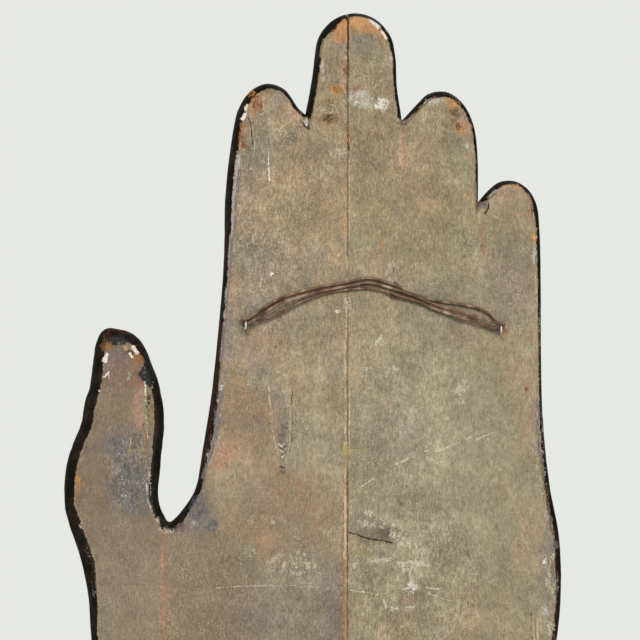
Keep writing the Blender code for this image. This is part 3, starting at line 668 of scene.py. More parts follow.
# chips, scratches, runs and cracks, with some lines of painted shade and one painted highlight: colour,
# strength, width, then points
strokes = (
    ("white", .96, 2.8, 246.8, 105, 245.6, 109), ("white", .98, 4.0, 244.6, 114, 242.2, 118.5),
    ("greyWhite", .60, 1.4, 240.4, 143, 239, 166), ("greyWhite", .50, .9, 238.6, 168, 236, 198, 234, 232),
    ("violetWhite", .62, 2.6, 237.6, 152, 235.4, 178, 233.2, 207, 231, 236, 229.2, 260, 227, 289, 224.4, 318),
    ("purpleGrey", .60, 3.2, 239.4, 170, 235.6, 207, 233.2, 240, 231.4, 262, 229, 290),
    ("greyWhite", .56, 1.2, 235.4, 164, 232.6, 194), ("violetWhite", .56, 2.0, 224, 322, 220.6, 360),
    ("white", .74, 1.0, 268.6, 151, 269, 180),
    # painted shade: the dark line of the crack up the index finger
    ("shadow", .84, 1.1, 247, 114, 250.5, 124, 252.4, 138, 253, 151),
    ("palePaint", .58, .9, 251.9, 125, 254.2, 138, 254.5, 152),
    ("bareDark", .56, 1.0, 290, 95, 298, 106, 304, 117),
    ("black", .90, 2.4, 243, 97, 250, 90, 260, 85.6, 274, 84.4, 286, 89.5),
    ("white", 1.2, 3.9, 369.8, 20.4, 374, 23.6, 378, 28), ("white", 1.2, 3.2, 382.6, 31, 386.8, 37.6),
    ("black", 1.1, 7.4, 322, 36, 327, 29.4, 333.4, 23, 340, 18.4, 345.6, 16),
    ("black", 1.1, 5.4, 347.4, 14.8, 354, 14.4), ("black", 1.1, 4.4, 354, 14.4, 364, 14.8, 371, 17.2),
    ("black", 1.25, 3.8, 371, 16.4, 380.2, 24.8, 388.2, 35.9, 393, 47),
    ("darkBrown", .62, 1.6, 333, 30, 338, 25, 346, 20.5),
    ("cream", .52, 1.0, 331, 104, 336, 108, 338, 114), ("cream", .48, 1.0, 322, 111, 328, 108, 334, 110),
    ("darkBrown", .72, 1.2, 403, 121, 412, 114.6, 420, 108.5, 428, 102.5),
    ("greyWhite", .70, .9, 396.6, 116, 398.6, 121.4, 402, 123.6, 407, 120.6, 412, 116.4),
    ("black", .80, .9, 398, 123, 401.6, 125, 406, 123),
    ("black", 1.1, 3.6, 427, 98.4, 436, 94.4, 446, 92.4, 455, 94.4, 463.4, 101.4, 469.6, 110.6, 473.6, 124),
    ("white", .98, 4.0, 133.8, 347, 136, 351.6), ("white", .86, 2.4, 130.2, 353.4, 132, 357),
    ("white", .98, 4.2, 106.8, 355, 105.6, 360.5), ("white", .80, 2.4, 108.5, 372.5, 103.6, 377),
    ("greyWhite", .62, 2.2, 108.8, 374, 109.4, 378), ("white", .80, 1.6, 99.4, 388, 100, 391),
    ("white", .58, 1.2, 142, 372, 144.6, 384, 145.6, 396), ("greyWhite", .50, 1.8, 146, 400, 147.6, 441),
    ("redBrown", .58, 1.6, 143, 424, 147, 441), ("palePaint", .60, 1.4, 130.5, 438, 130, 450),
    ("greyWhite", .62, 1.2, 146, 483, 147, 498, 152, 512, 160, 525),
    ("navy", .66, 2.6, 149, 484, 150, 499, 155, 511, 162, 521),
    ("black", .86, 2.6, 160, 525, 167, 528.5, 175, 526),
    ("palePaint", .66, 1.2, 491, 215, 501.5, 219),
    ("blueGrey", .92, 4.4, 484.6, 203.4, 485.2, 207.4),
    # painted shadow: the dark line on the right of the pale blue-grey spot in the crotch
    ("darkBrown", .84, 1.5, 488.6, 203, 489, 208, 485.6, 213),
    ("black", 1.1, 4.4, 486, 196, 492, 189.6, 500, 184.8, 508, 182.4, 518, 182.4, 526.6, 187.4, 532.8, 197),
    ("black", 1.1, 3.4, 532.8, 197, 535.6, 209, 537.6, 226),
    ("bareBright", .78, 1.6, 503.6, 187, 507, 186.4), ("bareBright", .78, 1.8, 515.6, 186.4, 520.6, 188.2),
    ("cream", .60, 1.0, 488.6, 197, 495, 191.6, 503, 188.2, 512, 186.6),
    ("darkBrown", .72, 1.2, 489.6, 198.6, 496, 193.4), ("redBrown", .66, 1.2, 529.6, 196, 532, 207, 533, 221),
    ("white", .80, 1.2, 304.4, 121.6, 306, 125), ("white", .72, 1.0, 307.6, 121.4, 306.6, 126.4),
    ("black", .90, 1.1, 303, 124, 305, 127.6), ("black", .74, 1.0, 309, 122, 308, 127),
    ("purpleGrey", .62, 3.0, 537.8, 400, 537.6, 430, 539.2, 452),
    ("blueGrey", .62, 2.2, 538.4, 416, 538.2, 440),
    ("violetWhite", .62, 1.6, 538.2, 404, 538.4, 424, 539.8, 446, 541.4, 462, 544.2, 478),
    # a painted highlight: a small glint on the pale strip by the little finger's edge
    ("greyWhite", .80, 1.2, 537.4, 411, 537.2, 419),
    ("purpleGrey", .64, 2.8, 539.2, 448, 541, 462, 543.8, 478),
    ("edgeBrown", .66, 3.0, 541.4, 462, 543, 474, 545.6, 490, 550.6, 520, 553, 534),
    ("rustBlack", .70, 1.2, 544, 480, 545.4, 490, 550.2, 520), ("redBrown", .60, 1.2, 546.8, 488, 551.8, 520),
    ("greyWhite", .56, 1.1, 534, 258, 535, 272, 537, 300), ("greyWhite", .50, 1.0, 539, 300, 539.4, 330),
    ("palePaint", .62, 1.5, 288.4, 386, 290, 400, 290.6, 420, 290.2, 440, 287, 456),
    ("seamCream", .525, 1.3, 268.8, 386, 270, 404, 271.8, 424, 274.6, 440, 279, 457),
    ("shadow", .52, .9, 291.8, 388, 292.6, 418, 292, 440, 289, 456),
    ("shadow", .54, 1.8, 280.4, 466, 285, 467.4),
    ("shadow", .53, 1.6, 281, 471, 285, 472.6),
    ("chalk", .56, 1.1, 278.6, 444, 282, 447, 285.6, 443),
    ("chalk", .57, 1.1, 279, 449, 282.4, 452, 285.6, 448),
    ("chalk", .57, 1.1, 279.6, 455, 282.6, 457.6, 285.6, 454),
    ("shadow", .56, .9, 279, 447, 282.2, 450, 285.4, 446),
    ("shadow", .56, .9, 279.6, 452.4, 282.6, 455, 285.4, 451.6),
    ("chalk", .58, 1.0, 218, 401, 217.4, 414, 216.6, 421),
    ("chalk", .47, .9, 216.4, 437, 214, 452, 210.4, 464),
    ("purpleGrey", 1.0, 3.2, 221, 392, 218.6, 412, 216.2, 432, 212.8, 448, 208.4, 462, 203, 478),
    ("cream", .56, 1.1, 214, 588.5, 231, 587, 251.7, 585.7),
    ("cream", .56, 1.1, 251.7, 585.7, 289.5, 585, 303, 586, 328.6, 588.6),
    ("seamCream", .52, 1.0, 372, 546, 388, 545),
    ("chalk", .78, 1.2, 362, 486, 375.6, 477.5), ("chalk", .96, 1.8, 395, 464.4, 398, 463.6),
    ("chalk", .92, 1.6, 401.4, 462.4, 407, 459), ("chalk", .74, 1.1, 407, 459, 412.6, 456),
    ("chalk", .86, 1.7, 425, 450.6, 428.6, 450.4), ("chalk", .72, 1.2, 436, 451.7, 459, 442.5),
    ("chalk", .62, 1.0, 466, 439, 471, 437), ("chalk", .72, 1.3, 475, 441, 493, 432),
    ("palePaint", .60, 1.0, 409.5, 433, 409.6, 448),
    ("darkBrown", .72, 1.5, 349, 532, 362, 536.5, 378, 540, 392, 542.5),
    ("chalk", .74, 1.8, 371, 561, 375, 560.4), ("chalk", .62, 1.8, 379, 559.6, 391, 557.8),
    ("chalk", .70, 1.4, 398, 562, 412, 562.6, 431, 566), ("chalk", .66, 1.2, 410, 571, 411.6, 584),
    ("chalk", .57, 1.1, 350, 590, 364, 592.6, 382, 595.6), ("chalk", .56, 1.0, 350, 570, 356, 567.4),
    ("chalk", .60, 1.9, 391, 589, 409, 588.5), ("chalk", .80, 3.0, 411, 587.2, 418, 587.6),
    ("chalk", .66, 1.6, 426, 588, 440, 588.5), ("chalk", .56, 1.1, 424, 591, 438, 597, 451, 601),
    ("chalk", .78, 1.6, 383, 600, 386, 608), ("chalk", .70, 1.6, 391, 607, 398, 609),
    ("chalk", .60, 1.2, 404, 607, 415, 606),
    ("seamCream", .64, 1.5, 532.6, 615, 534.6, 640), ("seamCream", .64, 1.5, 536.8, 616, 538, 640),
    ("brown", .54, 1.1, 531, 613, 533, 640), ("brown", .53, 1.0, 535, 616, 536.2, 640),
    ("rustBlack", .90, 1.7, 555.8, 548, 556.8, 575, 556.4, 605, 554.2, 640),
    ("white", .60, 1.0, 513, 584, 515, 589), ("greyWhite", .56, 1.0, 518, 530, 518.5, 535),
    ("greyWhite", .56, 1.0, 529, 592, 529.5, 597),
    ("rustBlack", .62, 3.6, 221.6, 322, 219, 350, 216.6, 380, 213.4, 404, 210.6, 424, 207, 446, 202, 466),
    ("rustBlack", .54, 3.0, 202, 466, 196, 482, 189, 498),
    # painted shade in the gouge above the wire, and a hole at its foot painted black as shade
    ("black", .72, 2.0, 397, 284.5, 393, 286.5), ("shadow", .66, 1.2, 393.4, 268, 394, 284),
    ("yellow", .60, 1.8, 357, 554, 369, 552),
    ("seamYellow", .70, 1.4, 351, 450.6, 368, 449),
    # along the seam: brown and orange where it is open, cream and tan where the paint has left it. The dark
    # lines down the joint's middle are painted shade in its gap.
    ("darkBrown", .86, 1.7, 348.2, 18, 348.4, 62), ("brown", .66, 1.6, 348.2, 62, 348, 116),
    ("redBrown", .54, 1.2, 346.8, 66, 347, 84), ("orange", .54, 2.0, 349.8, 128, 349.6, 142),
    ("shadow", .58, 1.6, 348.2, 118, 347.6, 150), ("chipTan", .49, 1.6, 345.4, 178, 345.4, 236),
    ("seamCream", .54, 1.3, 349.4, 160, 349.2, 240), ("paleRun", .56, 2.2, 345.4, 236, 345.4, 262),
    ("seamCream", .60, 3.2, 347, 258, 347, 284), ("seamCream", .62, 1.8, 346, 300, 346, 340),
    ("seamCream", .56, 2.6, 344.8, 340, 344.8, 384), ("seamCream", .56, 1.5, 345.4, 384, 345.4, 446),
    ("seamCream", .56, 1.5, 349.2, 376, 349.2, 444), ("seamCream", .56, 1.8, 345, 470, 344.8, 494),
    ("seamCream", .62, 2.8, 344.8, 494, 344.6, 530), ("seamCream", .70, 3.0, 344.6, 530, 344.8, 558),
    ("seamWood", .60, 3.0, 344.8, 556, 344.8, 640), ("orange", .55, 1.0, 346.2, 462, 346.2, 498),
    ("orange", .52, 1.0, 346.2, 556, 346.2, 640),
    ("bareDark", .56, 1.0, 343, 496, 343, 640), ("seamWood", .62, 2.6, 348.6, 556, 350.8, 559),
    ("brown", .70, 1.2, 347.5, 466, 347.5, 556), ("brown", .58, 1.1, 347.5, 556, 347.5, 640),
)
# soft stains in the paint, with some patches of painted shade: colour, strength, softness, left, top, right,
# bottom
stainsAndShade = (
    ("thumbPaint", .80, 12, 60, 322, 168, 560), ("thumbPaint", .50, 9, 72, 446, 114, 545),
    ("lowPaint", .52, 24, 84, 500, 250, 680),
    ("lowPaint", .55, 18, 180, 540, 262, 680), ("greyPaint", .55, 18, 250, 552, 345, 680),
    ("fingerPaint", .50, 14, 350, 52, 404, 230), ("fingerPaint", .26, 16, 404, 110, 478, 240),
    ("orange", .78, 3.5, 244, 89, 263, 113), ("bareDark", .50, 3, 250, 86, 288, 93),
    ("purpleGrey", .50, 5, 270, 92, 291, 108), ("pink", .42, 3, 284, 96, 294, 110),
    ("orange", .40, 3, 238, 122, 246, 150), ("pink", .30, 3, 296, 104, 306, 120),
    ("bareWood", .80, 4, 329, 15, 350, 46), ("bareWood", .85, 3, 349, 11, 388, 36),
    ("purpleGrey", .55, 5, 331, 37, 347, 56), ("purpleGrey", .55, 5, 350, 33, 378, 56),
    ("tan", .46, 3, 340, 44, 349, 84), ("orange", .85, 3, 329, 83, 343, 95),
    ("brown", .60, 2.5, 322, 99, 335, 108), ("brown", .82, 3, 320, 113, 338, 126),
    ("red", .60, 2, 354, 86, 363, 94), ("greyWhite", .50, 3, 351, 92, 372, 106),
    ("greyWhite", .50, 3, 375, 98, 390, 110), ("ochre", .26, 14, 316, 60, 346, 150),
    ("orange", .80, 2.5, 447, 95, 462, 110), ("olive", .60, 3, 444, 107, 463, 128),
    ("purpleGrey", .45, 3, 460, 108, 474, 124), ("orange", .46, 3, 457, 120, 472, 138),
    ("greyWhite", .62, 3, 423, 98, 442, 108), ("palePaint", .62, 3, 446, 172, 457, 187),
    ("pink", .34, 9, 402, 148, 440, 172), ("pink", .26, 12, 404, 176, 440, 214),
    ("orange", .28, 3, 466, 188, 474, 202), ("purpleGrey", .50, 3, 480, 199, 490, 213),
    ("pink", .40, 3, 484, 186, 530, 200), ("brown", .24, 3, 526, 194, 535, 224),
    ("fingerPaint", .44, 12, 486, 200, 536, 300), ("purpleGrey", .34, 14, 486, 240, 534, 320),
    ("purple", .62, 4, 110, 343, 128, 362), ("purple", .36, 8, 100, 350, 134, 388),
    ("navy", .66, 4, 139, 352, 156, 388),
    ("redBrown", .15, 5, 106, 360, 134, 392), ("red", .36, 3, 132, 362, 146, 388),
    ("pink", .62, 4, 133, 386, 146, 442), ("olive", .52, 3, 144, 378, 154, 424),
    ("blueGrey", .70, 8, 104, 428, 142, 462), ("bluish", .56, 5, 108, 438, 130, 462),
    ("blueGrey", .72, 8, 108, 458, 155, 516), ("bluish", .62, 6, 112, 468, 144, 512),
    ("purple", .46, 4, 126, 457, 141, 470), ("olive", .34, 4, 126, 446, 138, 458),
    ("purpleGrey", .22, 12, 90, 520, 150, 620), ("purple", .50, 3, 82, 443, 92, 454),
    ("purple", .52, 3, 76, 490, 85, 500), ("orange", .60, 2, 74, 472, 80, 492),
    ("purpleGrey", .44, 12, 176, 468, 212, 536), ("olive", .36, 8, 186, 470, 212, 520),
    ("bluish", .50, 7, 186, 492, 214, 532), ("purple", .56, 3, 173, 520, 188, 533),
    ("purpleGrey", .55, 6, 216, 318, 232, 362), ("ochre", .40, 6, 226, 354, 246, 384),
    ("palePaint", .40, 3, 284, 384, 291, 442), ("purpleGrey", .34, 4, 271, 384, 286, 430),
    ("pink", .34, 9, 246, 330, 267, 364), ("purpleGrey", .26, 9, 232, 334, 262, 376),
    ("redBrown", .20, 12, 220, 384, 272, 448), ("run", .44, 7, 211, 444, 231, 470),
    ("khaki", .42, 12, 292, 352, 344, 500),
    ("pink", .30, 10, 226, 430, 262, 462), ("purpleGrey", .24, 26, 226, 236, 300, 330),
    ("purpleGrey", .42, 16, 236, 108, 262, 236), ("pink", .20, 20, 296, 150, 346, 200),
    ("purple", .50, 3, 277, 422, 289, 458),
    ("brown", .40, 3, 278, 463, 288, 476),
    # painted shadow round the two screw eyes and the wire's wraps
    ("shadow", .42, 4, 236, 317, 254, 332), ("shadow", .34, 4, 490, 322, 504, 336),
    ("purple", .24, 16, 226, 590, 278, 650), ("purple", .40, 9, 322, 566, 345, 650),
    ("ochre", .20, 30, 352, 180, 470, 250), ("greenGrey", .40, 30, 352, 330, 500, 600),
    ("purple", .44, 7, 346, 512, 380, 536), ("shadow", .66, 5, 375, 524, 394, 540),
    ("shadow", .34, 6, 352, 530, 402, 546), ("redBrown", .18, 14, 240, 470, 330, 560),
    ("purpleGrey", .24, 14, 350, 408, 430, 470), ("shadow", .44, 3, 299, 114, 311, 131),
    ("purpleGrey", .20, 22, 380, 280, 520, 330), ("ochre", .22, 18, 250, 180, 330, 240),
    ("purpleGrey", .50, 4, 540, 500, 562, 640), ("brown", .34, 3, 554, 500, 564, 640),
)
# hollows: depth in mm, left, top, right, bottom
hollows = ((.9, 387, 266, 397, 287), (1.2, 392, 281, 400, 288), (.6, 376, 526, 395, 541),
           (.3, 346, 514, 380, 536), (.5, 172, 519, 188, 534), (.5, 480, 198, 491, 213),
           (.4, 334, 16, 349, 40), (.40, 351, 13, 386, 31), (.35, 246, 90, 262, 110),
           (.35, 448, 95, 461, 109), (.35, 457, 120, 472, 137), (.5, 102, 370, 111, 379),
           (.3, 268, 384, 291, 464), (.45, 131, 344, 141, 363), (.4, 103, 352, 109, 362),
           (.4, 530, 228, 538, 246), (.35, 540, 554, 556, 571), (.35, 546, 577, 561, 604),
           (.35, 550, 536, 559, 549), (.4, 74, 473, 80, 491), (.3, 145, 380, 154, 420))
# soft runs and smears, with some lines of painted shade: colour, strength, softness, width, then points
smearsAndShade = (
    ("brown", .62, 1.4, 3.2, 245, 99, 254, 91.5, 266, 88.6, 278, 89, 288, 94.5),
    ("paleRun", .70, .8, 1.6, 323.8, 46, 323, 66), ("greyWhite", .40, .8, 1.2, 391.5, 48, 392, 78),
    ("redBrown", .50, 1.0, 2.4, 346.4, 66, 346.6, 82),
    ("brown", .85, 1.0, 2.8, 447, 127, 453, 121, 460, 115),
    ("redBrown", .62, 1.0, 2.4, 470.5, 128, 473, 141), ("shadow", .5, .8, 1.0, 460, 147, 470, 149),
    ("brown", .62, 1.0, 2.2, 405, 118, 415, 111.5, 426, 102.5),
    ("bareDark", .62, 1.2, 2.6, 432, 97, 446, 95.6, 457, 99),
    ("paleRun", .62, 1.2, 2.6, 400.6, 122, 401.4, 150, 401, 185, 401.6, 214),
    ("run", .50, .8, 1.2, 402.6, 124, 403.2, 150, 402.8, 192),
    ("paleRun", .66, .8, 1.8, 479.6, 209, 479.6, 228),
    ("run", .92, .8, 2.8, 481, 224, 481.6, 236, 483, 246, 484, 257),
    ("green", .34, 1.0, 2.4, 487, 228, 488, 246),
    ("run", .40, 1.0, 1.6, 457, 250, 462, 268),
    ("run", .84, 1.0, 3.2, 164, 531, 164.4, 560, 163.6, 600, 164, 640),
    ("paleRun", .6, .8, 1.2, 162, 545, 162.4, 600), ("tan", .50, .8, 2.6, 344.8, 446, 344.8, 556),
    # the brown line down the joint is painted shade in its groove
    ("seamWood", .60, .8, 3.0, 344.8, 556, 344.8, 640), ("brown", .52, .6, 1.2, 347.5, 150, 347.5, 440),
    ("paleRun", .62, .8, 1.4, 268.6, 385, 271, 419, 273.5, 439, 279, 456),
    ("shadow", .44, .7, .9, 291.6, 388, 292.2, 418, 291.8, 440),
    ("purpleGrey", .60, 4.6, 6.0, 230, 306, 228, 340, 225.6, 372, 221, 398, 217, 424),
    ("blueGrey", .60, 1.2, 4.6, 221, 384, 219, 404, 217, 424, 214.4, 444),
    ("purpleGrey", .66, 1.2, 3.6, 214, 440, 211, 456, 206, 474, 200, 490),
    ("greyWhite", .30, .8, 1.4, 213.6, 446, 210, 460, 205, 476),
    # painted shadow of the hanging wire on the board, along the lower edge of its strands
    ("shadow", .46, .8, 1.2, 253, 325.6, 268, 320, 283, 314.6, 299, 304.6, 318, 296, 345, 292.6, 366, 291),
    ("shadow", .50, .9, 1.6, 400, 298, 430, 309.5, 460, 321, 490, 329.6),
    ("purple", .40, 2.0, 4.0, 340.4, 566, 340.4, 640), ("chipTan", .26, 1.2, 2.6, 345, 180, 345, 236),
    ("brown", .50, .9, 1.2, 360, 536, 392, 541), ("bareDark", .44, 1.0, 2.0, 558, 560, 559, 640),
)
# the wood that shows round a flake soaks its own colour into the paint beside it
halos = {"bareWood": "ochre", "bareBright": "ochre", "bareDark": "bareDark", "brown": "brown",
         "darkBrown": "brown"}
# how lively the paint's grain and grit are: factor, softness, left, top, right, bottom
grainZones = ((.60, 16, 62, 330, 176, 660), (1.0, 10, 232, 90, 312, 340), (.95, 14, 320, 60, 400, 160),
              (.64, 30, 176, 430, 340, 560), (.62, 30, 440, 330, 560, 660), (1.0, 10, 345, 500, 480, 660),
              (.95, 12, 410, 90, 475, 140), (1.25, 6, 108, 430, 150, 510), (.62, 8, 484, 196, 536, 226))
# how much further in the black runs than usual: millimetres, softness, left, top, right, bottom
blackZones = ((-2.2, 5, 306, 16, 336, 56), (-1.2, 5, 304, 50, 326, 118), (.8, 5, 425, 86, 462, 97),
              (-2.4, 4, 403, 100, 430, 122), (-9.0, 2, 396, 120, 412, 136), (-1.4, 5, 474, 180, 506, 204),
              (-9.0, 2, 470, 202, 486, 222), (-5.0, 2, 300, 118, 312, 132), (-2.2, 8, 204, 290, 242, 396),
              (-1.8, 6, 186, 456, 214, 524), (-.6, 4, 500, 174, 532, 190),
              (-.8, 5, 524, 188, 542, 228), (2.8, 7, 92, 322, 148, 342), (1.6, 8, 146, 372, 164, 520),
              (.8, 8, 84, 380, 104, 440), (-1.5, 6, 466, 136, 482, 214), (-.6, 8, 530, 260, 560, 480),
              (-1.2, 4, 312, 110, 326, 140), (-.8, 5, 282, 84, 312, 122), (1.6, 6, 74, 500, 100, 600),
              (.4, 6, 540, 540, 566, 660), (-.8, 4, 388, 60, 402, 120), (-2.4, 10, 204, 238, 246, 284))


def patchField(px, py, box):
    # How far inside an ellipse a point lies, in picture units, below zero outside.
    left, top, right, bottom = box
    halfWidth, halfHeight = (right - left) / 2, (bottom - top) / 2
    around = np.hypot((px - (left + right) / 2) / halfWidth, (py - (top + bottom) / 2) / halfHeight)
    return (1 - around) * min(halfWidth, halfHeight)


def pairs(numbers):
    return np.array(numbers, float).reshape(-1, 2)


def strokeField(px, py, width, numbers):
    return width / 2 - distanceTo(np.column_stack((px, py)), pairs(numbers))


def softened(field, soft):
    # The share of a mark that shows, eased over a border as soft as this.
    return eased(0.5 + field / (2 * soft))


def shifted(px, py, shift, across=1.0, down=1.0):
    return px + shift[:, 0] * across, py + shift[:, 1] * down


def wandering(px, py):
    # Torn paint has no round borders: each place is looked up a little off, at three sizes of wander.
    shift = np.zeros((len(px), 2))
    for size, reach, seed in paintLook["wander"]:
        shift += reach * np.array([noise.noise_vector(Vector((x / size, y / size, seed)))[:2]
                                   for x, y in zip(px, py)])
    return shift


def painted(points):
    # Colour and amount of the crisp flakes and lines and of the soft stains, with painted shade and a painted
    # highlight among them, for every point of the object's surface.
    look = paintLook
    px, py = pictureOf(points)
    shift = wandering(px, py)
    near = shifted(px, py, shift, look["strokeWander"], look["strokeWander"])
    wide = shifted(px, py, shift)
    tones = {name: linear(colour)[:3] for name, colour in palette.items()}
    marks = []
    for colour, strength, *box in flakes:
        across, down = (min(1, (box[i + 2] - box[i]) / look["smallPatch"]) for i in (0, 1))
        field = patchField(*shifted(px, py, shift, across, down), box)
        marks.append((colour, strength, 0.5 + look["patchEdge"] * field))
    marks += [(colour, strength, 0.5 + look["strokeEdge"] * strokeField(*near, width, numbers))
              for colour, strength, width, *numbers in strokes]
    crispMarkBest = np.full(len(points), -9.0)
    flakeAndShadeColour, flakeAndShadeAmount = np.tile(tones["bareWood"], (len(points), 1)), np.zeros(len(points))
    for colour, strength, field in marks:
        amount = np.minimum(field, strength)
        rank = np.where(field > 0.2, amount, field * 0.01)
        better = rank > crispMarkBest
        crispMarkBest = np.where(better, rank, crispMarkBest)
        flakeAndShadeColour[better] = tones[colour]
        flakeAndShadeAmount = np.maximum(flakeAndShadeAmount, np.maximum(amount, 0))
    marks = [(colour, strength, soft, patchField(*wide, box)) for colour, strength, soft, *box in stainsAndShade]
    marks += [(colour, strength, soft, strokeField(*near, width, numbers))
              for colour, strength, soft, width, *numbers in smearsAndShade]
    marks += [(halos[colour], look["haloStrength"], look["haloSoft"],
               patchField(*wide, box) + look["haloReach"])
              for colour, strength, *box in flakes if colour in halos]
    stainAndShadeColour, stainAndShadeAmount = np.zeros((len(points), 3)), np.zeros(len(points))
    for colour, strength, soft, field in marks:
        amount = strength * softened(field, soft)
        stainAndShadeColour = stainAndShadeColour * (1 - amount)[:, None] + np.outer(amount, tones[colour])
        stainAndShadeAmount = stainAndShadeAmount + amount - stainAndShadeAmount * amount
    stainAndShadeColour /= np.maximum(stainAndShadeAmount, 1e-4)[:, None]
    return flakeAndShadeColour, flakeAndShadeAmount, stainAndShadeColour, stainAndShadeAmount


def hollowDepth(points):
    px, py = pictureOf(points)
    place = shifted(px, py, wandering(px, py), 0.5, 0.5)
    depth = np.zeros(len(points))
    for millimetres, *box in hollows:
        size = min(box[2] - box[0], box[3] - box[1])
        share = eased(patchField(*place, box) / size * paintLook["hollowSteepness"])
        depth = np.maximum(depth, millimetres / 1000 * share)
    return depth


def strokePoints(width, numbers, step, gap):
    # Mesh points along a stroke: on its middle, on both its borders and a little outside them.
    spots, line = [], pairs(numbers)
    for start, end in zip(line, line[1:]):
        length = np.linalg.norm(end - start)
        along = (end - start) / max(length, 1e-9)
        aside = np.array((-along[1], along[0]))
        shares = np.linspace(0, 1, max(2, math.ceil(length / step)))
        for offset in (0, width / 2, -width / 2, width / 2 + gap, -width / 2 - gap):
            spots.append(start + np.outer(shares, end - start) + aside * offset)
    return np.vstack(spots)


def markPoints():
    # Extra mesh points where a mark is finer than the plain grid, in picture units.
    look, spots = paintLook, []
    for colour, strength, left, top, right, bottom in flakes:
        step = min(max(min(right - left, bottom - top) / 5, look["finest"]), look["coarsest"])
        xs, ys = np.meshgrid(np.arange(left - 1, right + 1.1, step), np.arange(top - 1, bottom + 1.1, step))
        spots.append(np.column_stack((xs.ravel(), ys.ravel())))
    spots += [strokePoints(width, numbers, look["strokeStep"], look["strokeGap"])
              for colour, strength, width, *numbers in strokes]
    return onBack(*np.vstack(spots).T)


# painted palm on the front: plain generic lines, in millimetres from the middle of the foot
palmLook = {"step": 2.4, "gap": 1.2}
palmLines = (
    (3.4, 17, 560, 18, 520, 20, 470, 24, 425), (3.4, -61, 556, -60, 515, -57, 470, -52, 430),
    (3.4, -122, 491, -119, 455, -113, 415),
    (2.8, 128, 236, 112, 262, 98, 300, 92, 340, 90, 372),
    (3.4, -158, 372, -120, 384, -70, 392, -20, 398, 20, 408, 46, 424),
    (3.4, 84, 366, 50, 350, 5, 330, -50, 304, -104, 270, -132, 250),
    (3.4, 84, 366, 62, 340, 48, 300, 44, 255, 50, 205, 64, 150, 74, 110),
    (2.8, -22, 118, -18, 180, -16, 250, -20, 320, -28, 384),
    (2.4, -112, 170, -110, 240, -106, 300, -104, 340),
    (2.2, 28, 530, 46, 527, 66, 531), (2.2, 28, 478, 48, 474, 72, 478),
    (2.2, -50, 590, -24, 586, 4, 590), (2.2, -48, 500, -22, 496, 10, 500),
    (2.2, -110, 535, -92, 531, -70, 534), (2.2, -106, 470, -86, 466, -62, 470),
    (2.2, -162, 462, -148, 458, -128, 461), (2.2, -158, 420, -142, 416, -124, 419),
    (2.2, 148, 335, 160, 331, 176, 335), (2.2, 138, 285, 156, 280, 182, 286),
    (2.6, -96, 40, -50, 33, 0, 31, 50, 33, 96, 40), (2.6, -104, 56, -50, 48, 0, 46, 50, 48, 104, 56),
)


def palmField(points):
    # How far inside a painted palm line a point lies, in millimetres.
    flat = points[:, (0, 2)] * 1000
    best = np.full(len(points), -9.0)
    for width, *numbers in palmLines:
        best = np.maximum(best, width / 2 - distanceTo(flat, pairs(numbers)))
    return best


def palmPoints():
    return np.vstack([strokePoints(width, numbers, palmLook["step"], palmLook["gap"])
                      for width, *numbers in palmLines]) / 1000


# board materials
def noiseAt(tree, place, scale, detail=3.0, rough=0.6, stretch=None, offset=None):
    # A noise over the object, drawn out along an axis or moved off to another part of itself.
    if stretch or offset:
        place = add(tree, "ShaderNodeMapping", place, offset, None, stretch)
    return add(tree, "noise", place, scale, detail, rough)


def weighed(tree, parts, start):
    # A weighted sum of values.
    total = start
    for value, weight in parts:
        total = add(tree, "MULTIPLY_ADD", value, weight, total)
    return total


def blackCoat(tree, place):
    # Lamp-black oil paint brushed over the edge: its ragged border, its worn line and its colour.
    reach = add(tree, "ShaderNodeAttribute", attribute_name="black").outputs["Fac"]
    border = weighed(tree, ((noiseAt(tree, place, 190.0, 5.0, 0.72), 4.6),), reach)
    coat = add(tree, "softRange", border, 2.15, 2.45)
    chipped = add(tree, "softRange", noiseAt(tree, place, 520.0, 3.0, 0.7), 0.50, 0.58)
    worn = add(tree, "MULTIPLY", add(tree, "softRange", border, 0.6, 2.0), chipped)
    # its brown patches are thin paint and painted sheen
    colour = add(tree, "ramp", noiseAt(tree, place, 90.0, 4.0), stops=(
        (0.36, "#15130f"), (0.50, "#1f1c17"), (0.60, "#2a231c"), (0.70, "#3a2b21")))
    return coat, worn, colour


def flakesAndShadeOver(tree, place, grain, under):
    # Flakes and crisp lines, painted shade among them, in their own colour: borders torn at every size from 5
    # mm down, tone uneven inside.
    flakeAndShade = add(tree, "ShaderNodeAttribute", attribute_name="flakeAndShade").outputs
    torn = noiseAt(tree, place, 260.0, 4.0, 0.78, (1.0, 1.0, 0.7))
    fine = noiseAt(tree, place, 720.0, 2.0, 0.6, None, (2.0, 0.0, 5.0))
    field = weighed(tree, ((torn, 1.3), (fine, 0.8), (flakeAndShade["Alpha"], 1.0)), -1.05)
    mask = add(tree, "softRange", field, 0.46, 0.56)
    uneven = weighed(tree, ((grain, 0.9), (noiseAt(tree, place, 430.0, 3.0, 0.7), 1.0)), 0.02)
    shade = add(tree, "range", uneven, 0.62, 1.32, 0.62, 1.24)
    return add(tree, "mix", mask, under, add(tree, "tint", 1.0, flakeAndShade["Color"], shade)), mask


